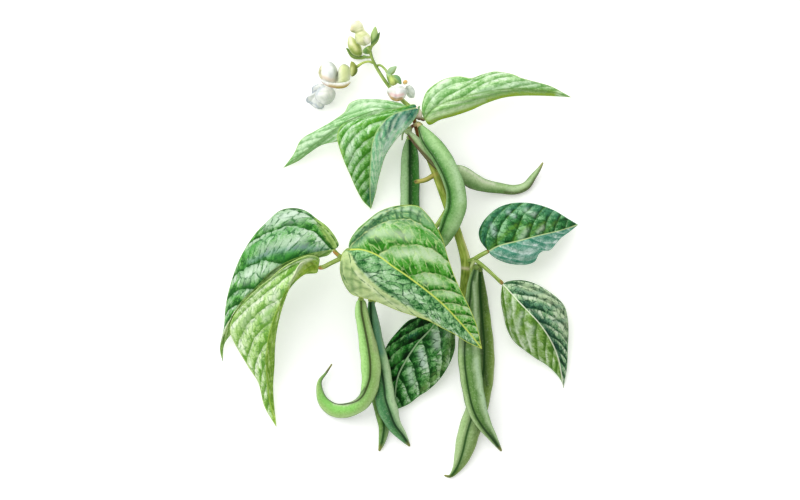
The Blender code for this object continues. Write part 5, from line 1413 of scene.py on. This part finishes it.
def stalk_finish(name, body, light, deep):
    """Stem skin: matt and ribbed lengthwise, paler on its ribs."""
    finish, tree, shader, _, wash = new_finish(name)
    along, leftward, upward = (
        node(tree, "ShaderNodeAttribute", attribute_name=stored).outputs["Fac"]
        for stored in ("along_mm", "leftward", "upward")
    )
    along = node(tree, "ShaderNodeMath", {0: along, 1: 0.08}, operation="MULTIPLY").outputs[0]
    place = node(tree, "ShaderNodeCombineXYZ", {0: leftward, 1: upward, 2: along}).outputs[0]
    ribs = node(tree, "ShaderNodeTexNoise", {"Vector": place, "Scale": 2.4, "Detail": 3.0}).outputs["Fac"]
    stops = [(0.3, deep), (0.5, body), (0.7, light)]
    base = node(tree, "ShaderNodeValToRGB", {"Fac": ribs}, stops).outputs["Color"]
    tree.links.new(under_wash(tree, base, wash), shader.inputs["Base Color"])
    shader.inputs["Roughness"].default_value = 0.55
    shader.inputs["Specular IOR Level"].default_value = 0.3
    bump = node(tree, "ShaderNodeBump", {"Height": ribs, "Strength": 0.5, "Distance": 0.4 * MM})
    tree.links.new(bump.outputs[0], shader.inputs["Normal"])
    return finish


def petal_finish(name, body, shade, rim):
    """Petal: thin, silky and faintly lined from its base, with a greyer rim."""
    finish, tree, shader, in_mm, wash = new_finish(name)
    vein_step, along, edge_mm = (
        node(tree, "ShaderNodeAttribute", attribute_name=stored).outputs["Fac"]
        for stored in ("vein_step", "along_mm", "edge_mm")
    )
    place = node(tree, "ShaderNodeCombineXYZ", {0: vein_step, 1: along, 2: 0.0}).outputs[0]
    lines = node(tree, "ShaderNodeTexNoise", {"Vector": place, "Scale": 0.9, "Detail": 3.0}).outputs["Fac"]
    cloud = node(
        tree, "ShaderNodeTexNoise", {"Vector": in_mm, "Scale": 1 / PETAL_CLOUD, "Detail": 2.0}
    ).outputs["Fac"]
    both = node(tree, "ShaderNodeMath", {0: lines, 1: cloud}, operation="ADD").outputs[0]
    fade = node(
        tree, "ShaderNodeMapRange", {"Value": both, "From Min": 0.85, "From Max": 1.3, "To Max": 0.8}
    ).outputs[0]
    base = node(
        tree, "ShaderNodeMix", {0: fade, 6: colour(body), 7: colour(shade)}, data_type="RGBA"
    ).outputs[2]
    base = under_wash(tree, base, wash)
    edge = node(
        tree,
        "ShaderNodeMapRange",
        {"Value": edge_mm, "From Min": 0.15, "From Max": 0.7, "To Min": 0.6, "To Max": 0.0},
    ).outputs[0]
    base = node(tree, "ShaderNodeMix", {0: edge, 6: base, 7: colour(rim)}, data_type="RGBA").outputs[2]
    tree.links.new(base, shader.inputs["Base Color"])
    shader.inputs["Roughness"].default_value = 0.5
    shader.inputs["Sheen Weight"].default_value = 0.15
    bump = node(tree, "ShaderNodeBump", {"Height": both, "Strength": 0.4, "Distance": 0.3 * MM})
    tree.links.new(bump.outputs[0], shader.inputs["Normal"])
    return finish


def smooth_line(points, places):
    """Points of the smooth curve through these points, at these places between 0 (start) and 1 (end)."""
    knots = np.array(points, dtype=float)
    knots = np.vstack([2 * knots[0] - knots[1], knots, 2 * knots[-1] - knots[-2]])
    steps = np.sqrt(np.linalg.norm(np.diff(knots[:, :3], axis=0), axis=1))
    times = np.concatenate([[0.0], np.cumsum(steps)])
    dense = []
    for span in range(1, len(knots) - 2):
        t0, t1, t2, t3 = times[span - 1 : span + 3]
        k0, k1, k2, k3 = knots[span - 1 : span + 3]
        for t in np.linspace(t1, t2, CURVE_STEPS, endpoint=False):
            # Each point is mixed from its four nearest knots, two at a time.
            a = (k0 * (t1 - t) + k1 * (t - t0)) / (t1 - t0)
            b = (k1 * (t2 - t) + k2 * (t - t1)) / (t2 - t1)
            c = (k2 * (t3 - t) + k3 * (t - t2)) / (t3 - t2)
            d = (a * (t2 - t) + b * (t - t0)) / (t2 - t0)
            e = (b * (t3 - t) + c * (t - t1)) / (t3 - t1)
            dense.append((d * (t2 - t) + e * (t - t1)) / (t2 - t1))
    dense = np.array([*dense, knots[-2]])
    lengths = np.concatenate([[0.0], np.cumsum(np.linalg.norm(np.diff(dense[:, :3], axis=0), axis=1))])
    wanted = np.asarray(places) * lengths[-1]
    return np.array([np.interp(wanted, lengths, column) for column in dense.T]).T


def smoothstep(low, high, value):
    """0 at low, 1 at high, with a soft start and end."""
    share = np.clip((value - low) / (high - low), 0, 1)
    return share * share * (3 - 2 * share)


def unit(vectors):
    """The vectors, each made one long."""
    return vectors / np.maximum(np.linalg.norm(vectors, axis=-1, keepdims=True), 1e-9)


def distance_to(line, points):
    """How far each point is from a line, seen from above, and 0 inside it if it ends where it began."""
    away = np.full(len(points), 1e9)
    inside = np.zeros(len(points), dtype=bool)
    for (x0, y0), (x1, y1) in zip(line, line[1:]):
        run = np.array((x1 - x0, y1 - y0))
        share = np.clip(((points[:, :2] - (x0, y0)) @ run) / max(run @ run, 1e-9), 0, 1)
        away = np.minimum(away, np.linalg.norm(points[:, :2] - (x0, y0) - share[:, None] * run, axis=1))
        crosses = (y0 > points[:, 1]) != (y1 > points[:, 1])
        level = (points[:, 1] - y0) / (y1 - y0) if y1 != y0 else 0.0
        inside ^= crosses & (points[:, 0] < x0 + level * (x1 - x0))
    if line[0] == line[-1]:
        away[inside] = 0.0
    return away


def washed(points, washes):
    """The colour and cover of all washes at each point, the later ones over the earlier."""
    tint, cover = np.zeros((len(points), 3)), np.zeros(len(points))
    for hexed, softness, strength, *lines in washes:
        for line in lines:
            over = strength * np.exp(-((distance_to(line, points) / softness) ** 2))
            tint = tint * (1 - over)[:, None] + np.array(colour(hexed)[:3]) * over[:, None]
            cover = cover * (1 - over) + over
    tint /= np.maximum(cover, 1e-6)[:, None]
    return np.column_stack([tint, cover]).astype(np.float32)


def add_piece(name, points, faces, measures, finishes, replaced):
    """A smooth-shaded mesh from points in the layout's millimetres, with measures stored on its points."""
    mesh = bpy.data.meshes.new(name)
    placed = (np.asarray(points, dtype=float) - (MIDDLE[0], MIDDLE[1], 0.0)) * MM
    mesh.from_pydata(placed.tolist(), [], faces)
    for key, values in measures.items():
        store = mesh.attributes.new(key, "FLOAT", "POINT")
        store.data.foreach_set("value", np.asarray(values, dtype=np.float32))
    store = mesh.attributes.new("wash", "FLOAT_COLOR", "POINT")
    store.data.foreach_set("color", washed(np.asarray(points), WASHES.get(replaced, [])).ravel())
    for finish in finishes:
        mesh.materials.append(finish)
    mesh.shade_smooth()
    piece = bpy.data.objects.new(name, mesh)
    bpy.context.scene.collection.objects.link(piece)
    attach(piece, "root")
    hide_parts(replaced)
    return piece


def blade_surface(plan, rows, columns):
    """The smooth surface of a blade, rows from base to tip and columns from left to right edge, with the
    share of the way from base to tip of each row and from midrib to edge of each column."""
    base, tip = plan["midrib"][0], plan["midrib"][-1]
    along = np.linspace(0, 1, rows + 1)
    roots = smooth_line(plan["midrib"], along**VEIN_SWEEP)
    ahead = smooth_line(plan["midrib"], np.minimum(along**VEIN_SWEEP + 0.02, 1)) - roots
    ahead[-1] = ahead[-2]
    heading = unit(ahead[:, :2])
    out = np.arange(columns + 1) / columns
    arch = 4 * out * (1 - out)
    halves = []
    for side, dome in zip(("left", "right"), plan["dome"], strict=True):
        ribs = smooth_line([base, *plan[side], tip], along) - roots
        reach = np.linalg.norm(ribs[:, :2], axis=1)
        half = roots[:, None] + ribs[:, None] * out[None, :, None]
        half[..., :2] -= VEIN_BOW * (reach[:, None] * arch)[..., None] * heading[:, None]
        half[..., 2] += dome * reach[:, None] * arch
        halves.append(half)
    surface = np.concatenate([halves[0][:, ::-1], halves[1][:, 1:]], axis=1)
    return surface, along, np.concatenate([out[::-1], out[1:]])


def blade_measures(surface, along, outs, roots, reach=(0.3, 0.3)):
    """Where each point of a blade lies among its veins: the count of side veins passed, the gap between
    them in millimetres, how far it is along them, and its distance from midrib and edge."""
    # Side veins start along the midrib and run forward, less so towards the tip.
    starts = np.linspace(-1.2, 1, 400)
    forward = (1 - starts) * (reach[0] + (reach[1] - reach[0]) * np.clip(starts, 0, 1))
    bend = outs * (0.7 + 0.3 * outs)
    label = np.array([np.interp(along, starts + forward * share, starts) for share in bend]).T
    step = np.interp(label, roots, np.arange(len(roots)))
    # The gap comes from how steeply the count rises per millimetre, worked out from the lengths of the
    # grid's steps and the slant between them.
    by_row, by_column = np.gradient(surface, axis=0), np.gradient(surface, axis=1)
    step_row, step_column = np.gradient(step, axis=0), np.gradient(step, axis=1)
    rows, slants, columns = (by_row**2).sum(-1), (by_row * by_column).sum(-1), (by_column**2).sum(-1)
    area = np.maximum(rows * columns - slants * slants, 1e-6)
    steepness = (columns * step_row**2 - 2 * slants * step_row * step_column + rows * step_column**2) / area
    gap = np.clip(1 / np.sqrt(np.maximum(steepness, 1e-6)), 0.3, 18)
    across = unit(
        ((columns * step_row - slants * step_column) / area)[..., None] * by_row
        + ((rows * step_column - slants * step_row) / area)[..., None] * by_column
    )
    # The way along the veins, from the midrib outwards.
    middle = len(outs) // 2
    sideways = np.sign(np.arange(len(outs)) - middle)[None, :, None] * by_column
    upright = unit(np.cross(by_row, by_column))
    lateral = np.cross(across, upright)
    lateral *= np.sign((lateral * sideways).sum(-1, keepdims=True) + 1e-9)
    steps = np.diff(surface, axis=1)
    run = np.zeros(surface.shape[:2])
    right, left = lateral[:, middle:-1], lateral[:, 1 : middle + 1]
    run[:, middle + 1 :] = np.cumsum((steps[:, middle:] * right).sum(-1), axis=1)
    run[:, :middle] = -np.cumsum((steps[:, :middle] * left).sum(-1)[:, ::-1], axis=1)[:, ::-1]
    from_base = np.cumsum(np.linalg.norm(by_row[:, middle], axis=1))
    run += 0.5 * from_base[:, None]
    # Midrib and edge run lengthwise, so the way to them is shorter than along the slanting ribs.
    spacing = np.linalg.norm(steps, axis=2)
    from_mid = np.zeros(surface.shape[:2])
    from_mid[:, middle + 1 :] = np.cumsum(spacing[:, middle:], axis=1)
    from_mid[:, :middle] = np.cumsum(spacing[:, :middle][:, ::-1], axis=1)[:, ::-1]
    heading = unit(by_row[:, middle])
    slant = unit(surface - surface[:, middle : middle + 1])
    square = np.sqrt(np.clip(1 - (slant * heading[:, None]).sum(-1) ** 2, 0, 1))
    column = np.arange(len(outs))
    rim = np.where(column < middle, from_mid[:, :1] - from_mid, from_mid[:, -1:] - from_mid)
    return {
        "vein_step": step,
        "vein_gap": gap,
        "run_mm": run,
        "mid_mm": from_mid * square,
        "edge_mm": rim * np.maximum(square, 0.5),
        "along_mm": np.broadcast_to(from_base[:, None], step.shape),
        "side": np.broadcast_to((column > middle) + 0.5 * (column == middle), step.shape),
    }


def blade_faces(rows, width):
    """Faces of a blade whose first and last rows are one point each."""
    index = 1 + (np.arange(rows + 1)[:, None] - 1) * width + np.arange(width)[None]
    index[0], index[-1] = 0, 1 + (rows - 1) * width
    faces = []
    for row in range(rows):
        for column in range(width - 1):
            corners = [*index[row, column : column + 2], *index[row + 1, column : column + 2][::-1]]
            faces.append([int(corner) for corner in dict.fromkeys(corners)])
    return faces


def one_ended(grid):
    """The grid as one list, with its first and last row kept as a single entry."""
    return np.concatenate([grid[:1, 0], grid[1:-1].reshape(-1, *grid.shape[2:]), grid[-1:, 0]])


def add_blade(name, surface, measures, finishes, replaced, thickness):
    """A thin blade of even thickness below its surface, with the last finish on its lower face."""
    points = one_ended(surface)
    faces = blade_faces(surface.shape[0] - 1, surface.shape[1])
    measures = {key: one_ended(values) for key, values in measures.items()}
    piece = add_piece(name, points, faces, measures, finishes, replaced)
    solid = piece.modifiers.new("thickness", "SOLIDIFY")
    solid.thickness = thickness * MM
    solid.offset = -1.0
    solid.material_offset = len(finishes) - 1


def leaflet(name, plan, underside):
    """A leaflet, its skin quilted between the side veins."""
    look = LEAF_LOOKS[name]
    surface, along, outs = blade_surface(plan, LEAF_ROWS, LEAF_COLUMNS)
    measures = blade_measures(surface, along, outs, look["roots"], look["reach"])
    normal = unit(np.cross(np.gradient(surface, axis=0), np.gradient(surface, axis=1)))
    normal *= np.where(np.median(normal[..., 2]) < 0, -1, 1)
    step, gap = measures["vein_step"], measures["vein_gap"]
    off_vein = np.abs(step - np.round(step)) * gap
    quilt = 1 - np.exp(-((off_vein / np.clip(VEIN_VALLEY * gap, 0.9, 3.2)) ** 2))
    quilt *= 1 - np.exp(-((measures["mid_mm"] / MIDRIB_VALLEY) ** 2))
    # The quilting is lower where veins are close, and runs out towards edge, base and tip.
    height = VEIN_RELIEF * (quilt - 0.5) * smoothstep(1.0, 9.0, gap)
    height *= smoothstep(0.0, 3.5, measures["edge_mm"])
    height *= smoothstep(0.0, 0.06, along)[:, None] * smoothstep(1.0, 0.93, along)[:, None]
    surface = surface + height[..., None] * normal
    finishes = [leaf_finish(name + "_skin", look), underside]
    add_blade(name + "_blade", surface, measures, finishes, name, LEAF_THICKNESS)


def petal(name, plan, finish):
    """A petal, its edge in soft waves."""
    surface, along, outs = blade_surface(plan, PETAL_ROWS, PETAL_COLUMNS)
    measures = blade_measures(surface, along, outs, [-3.0, 0.0, 3.0])
    ruffle = PETAL_WAVE * outs[None] ** 2 * np.sin(2 * np.pi * PETAL_WAVES * along)[:, None]
    surface[..., 2] += ruffle * smoothstep(0, 0.1, along)[:, None] * smoothstep(1, 0.9, along)[:, None]
    add_blade(name + "_petal", surface, measures, [finish], name, PETAL_THICKNESS)


def tube_parts(line, sides, rings, flatness=1.0, seam=(0, 0), groove=0.0, swell=0.0):
    """Points, faces and measures of a closed tube along a line with radii, rounded off at both ends."""
    places = np.linspace(0, 1, rings)
    middle = smooth_line(line, places)
    steps = np.linalg.norm(np.diff(middle[:, :3], axis=0), axis=1)
    along = np.concatenate([[0.0], np.cumsum(steps)])
    heading = unit(np.gradient(middle[:, :3], axis=0))
    sideways = unit(np.cross(heading, (0.0, 0.0, 1.0)))
    upwards = np.cross(sideways, heading)
    # The last bit before each end is rounded, by the radius there and not over much of a short tube.
    from_end = np.minimum(along, along[-1] - along)
    end_radius = np.where(along < along[-1] / 2, middle[0, 3], middle[-1, 3])
    rounded = np.clip(from_end / np.minimum(0.8 * end_radius, 0.15 * along[-1]), 0.03, 1)
    radius = middle[:, 3] * np.sqrt(rounded * (2 - rounded))
    seeds = swell * np.sin(along / SEED_GAP * 2 * np.pi) * smoothstep(8, 24, from_end)
    seams = np.radians(np.interp(places, np.linspace(0, 1, len(seam)), seam))
    angles = seams[:, None] + np.arange(sides) * 2 * np.pi / sides
    off = (np.arange(sides) * 2 * np.pi / sides + np.pi) % (2 * np.pi) - np.pi
    reach = radius[:, None] * (1 + seeds[:, None] * np.abs(np.sin(off))[None])
    sunk = groove * np.exp(-((off / GROOVE_WIDTH) ** 2)) * smoothstep(1.2, 3.0, radius)[:, None]
    reach = reach * (1 - sunk)
    spokes = np.cos(angles)[..., None] * sideways[:, None]
    spokes = spokes + flatness * np.sin(angles)[..., None] * upwards[:, None]
    points = middle[:, None, :3] + reach[..., None] * spokes
    points[..., 2] = np.maximum(points[..., 2], LOWEST)
    faces = [
        [start + s, start + sides + s, start + sides + (s + 1) % sides, start + (s + 1) % sides]
        for start in range(0, (rings - 1) * sides, sides)
        for s in range(sides)
    ]
    faces.append(list(range(sides)))
    faces.append(list(reversed(range((rings - 1) * sides, rings * sides))))
    measures = {
        "upward": np.sin(angles).ravel(),
        "leftward": -np.cos(angles).ravel(),
        "seam_mm": (2 * np.abs(np.sin(off / 2))[None] * middle[:, 3:4]).ravel(),
        "opposite_mm": (2 * np.abs(np.cos(off / 2))[None] * middle[:, 3:4]).ravel(),
        "along_mm": np.repeat(along, sides),
        "end_mm": np.repeat(along[-1] - along, sides),
    }
    return points.reshape(-1, 3), faces, measures


def pod(name, plan):
    """A pod, faintly swollen over its seeds, with a groove along its seam."""
    points, faces, measures = tube_parts(
        plan["line"], POD_SIDES, POD_RINGS, POD_FLATNESS, plan["seam"], GROOVE_DEPTH, SEED_SWELL
    )
    finishes = [pod_finish(name + "_skin", POD_LOOKS[name])]
    add_piece(name + "_skin", points, faces, measures, finishes, name)


def grown_on(name, line):
    """The line of a stalk, carried on into the stem that it grows from and into the leaflet or the pod that
    it carries."""
    first, last = np.array(line[0][:3]), np.array(line[-1][:3])
    stem = smooth_line(STEM, np.linspace(0, 1, 300))
    away = np.linalg.norm(stem[:, :3] - first, axis=1)
    if name != "main_stem" and away.min() < stem[away.argmin(), 3] + STEM_REACH:
        line = [(*stem[away.argmin(), :3], line[0][3]), *line]
    for leaf in LEAFLETS.values():
        base = np.array(leaf["midrib"][0])
        if name.startswith("leaf_stalk") and np.linalg.norm(base - last) < JOINT_REACH:
            within = base + 0.15 * (base - last)
            line = [*line[:-1], (*last, JOINT_RADIUS), (*within, JOINT_END_RADIUS)]
    for carried in PODS.values():
        neck, below = np.array(carried["line"][0][:3]), np.array(carried["line"][1][:3])
        if name.startswith("pod_stalk") and np.linalg.norm(neck - last) < CUP_REACH:
            within = neck + CUP_DEPTH * unit(below - neck)
            line = [*line, (*neck, CUP_RADIUS), (*within, carried["line"][0][3] + CUP_LIP)]
    return line


def stalk(name, plan, finish):
    """Tubes grown together into one stalk, round ones and flat ones such as bracts."""
    tubes = [(grown_on(name, line), 1.0) for line in plan["round"]]
    if name == "leaf_stalk_top":
        tubes.append((PETIOLE, 1.0))
    tubes += [(grown_on(name, line), BRACT_FLATNESS) for line in plan.get("flat", [])]
    points, faces, measures, count = [], [], {}, 0
    for line, flatness in tubes:
        length = np.linalg.norm(np.diff(np.array(line)[:, :3], axis=0), axis=1).sum()
        rings = int(max(FEWEST_RINGS, length * STALK_RINGS))
        more, their_faces, theirs = tube_parts(line, STALK_SIDES, rings, flatness)
        points.append(more)
        faces += [[corner + count for corner in face] for face in their_faces]
        count += len(more)
        for key, values in theirs.items():
            measures.setdefault(key, []).append(values)
    points = np.concatenate(points)
    measures = {key: np.concatenate(values) for key, values in measures.items()}
    add_piece(name + "_skin", points, faces, measures, [finish], name)


def bud(name, line, finish):
    """A closed bud or a folded keel, as one rounded body."""
    points, faces, measures = tube_parts(line, BUD_SIDES, BUD_RINGS)
    measures = {
        "vein_step": measures["leftward"],
        "along_mm": measures["along_mm"],
        "edge_mm": np.full(len(points), FAR_FROM_EDGE),
    }
    add_piece(name + "_skin", points, faces, measures, [finish], name)


def ground():
    """A pale floor, faintly lit from within so that it stays white."""
    mesh = bpy.data.meshes.new("floor")
    ends = (-FLOOR_REACH, FLOOR_REACH)
    mesh.from_pydata([(x, y, -FLOOR_DROP) for x in ends for y in ends], [], [(0, 2, 3, 1)])
    finish = bpy.data.materials.new("floor_matt_white")
    finish.use_nodes = True
    shader = finish.node_tree.nodes["Principled BSDF"]
    shader.inputs["Base Color"].default_value = colour("#F8F8F7")
    shader.inputs["Roughness"].default_value = 0.9
    shader.inputs["Specular IOR Level"].default_value = 0.1
    shader.inputs["Emission Color"].default_value = colour("#F8F8F7")
    shader.inputs["Emission Strength"].default_value = FLOOR_GLOW
    mesh.materials.append(finish)
    floor = bpy.data.objects.new("floor", mesh)
    bpy.context.scene.collection.objects.link(floor)


def light():
    """A broad lamp from the upper left, and an even white sky."""
    lamp = bpy.data.lights.new("key", "SUN")
    lamp.energy = KEY_STRENGTH
    lamp.angle = np.radians(KEY_WIDTH)
    key = bpy.data.objects.new("key", lamp)
    key.rotation_euler = (np.radians(KEY_TILT[0]), np.radians(KEY_TILT[1]), 0.0)
    bpy.context.scene.collection.objects.link(key)
    world = bpy.data.worlds.new("sky")
    world.use_nodes = True
    back = world.node_tree.nodes["Background"]
    back.inputs["Color"].default_value = colour("#FFFFFF")
    back.inputs["Strength"].default_value = SKY_STRENGTH
    bpy.context.scene.world = world
    bpy.context.scene.view_settings.view_transform = "Standard"


def view_from_above():
    """The camera, high over the part's origin in the layout, so that it sees the sprig almost square on."""
    lens = bpy.data.cameras.new("camera")
    lens.sensor_width = SENSOR_WIDTH
    lens.lens = SENSOR_WIDTH * (CAMERA_HEIGHT - VIEW_LEVEL) / VIEW_WIDTH
    lens.clip_end = 100
    camera = bpy.data.objects.new("camera", lens)
    camera.location = (-MIDDLE[0] * MM, -MIDDLE[1] * MM, CAMERA_HEIGHT)
    bpy.context.scene.collection.objects.link(camera)
    bpy.context.scene.camera = camera


# Leaf skin from below: paler, duller and with its veins raised.
leaf_below = leaf_finish("leaf_underside", UNDERSIDE_LOOK)
for name, plan in LEAFLETS.items():
    leaflet(name, plan, leaf_below)
for name, plan in PODS.items():
    pod(name, plan)

# The old, woody stem is olive, and the young stalks are a fresher green.
stem_skin = stalk_finish("stem_skin", "#8FA63C", "#B6C664", "#627A20")
green_skin = stalk_finish("stalk_skin", "#93AE52", "#BFD282", "#6A8A34")
for name, plan in STALKS.items():
    stalk(name, plan, stem_skin if name == "main_stem" else green_skin)

# Open petals are white with a cool grey shade, unopened ones cream, and the youngest bud still green.
white = petal_finish("petal_white_silk", "#EEF1EB", "#C3CCC8", "#A6AFB2")
cream = petal_finish("petal_cream_silk", "#EBEDBE", "#C6CE88", "#B9C27A")
bud_green = petal_finish("bud_green_silk", "#B6C468", "#8A9E42", "#6E8630")
for name, plan in PETALS.items():
    petal(name, plan, white)
for name, line in BUDS.items():
    bud(name, line, {"flower_open_keel": white, "bud_left": bud_green}.get(name, cream))

ground()
light()
view_from_above()
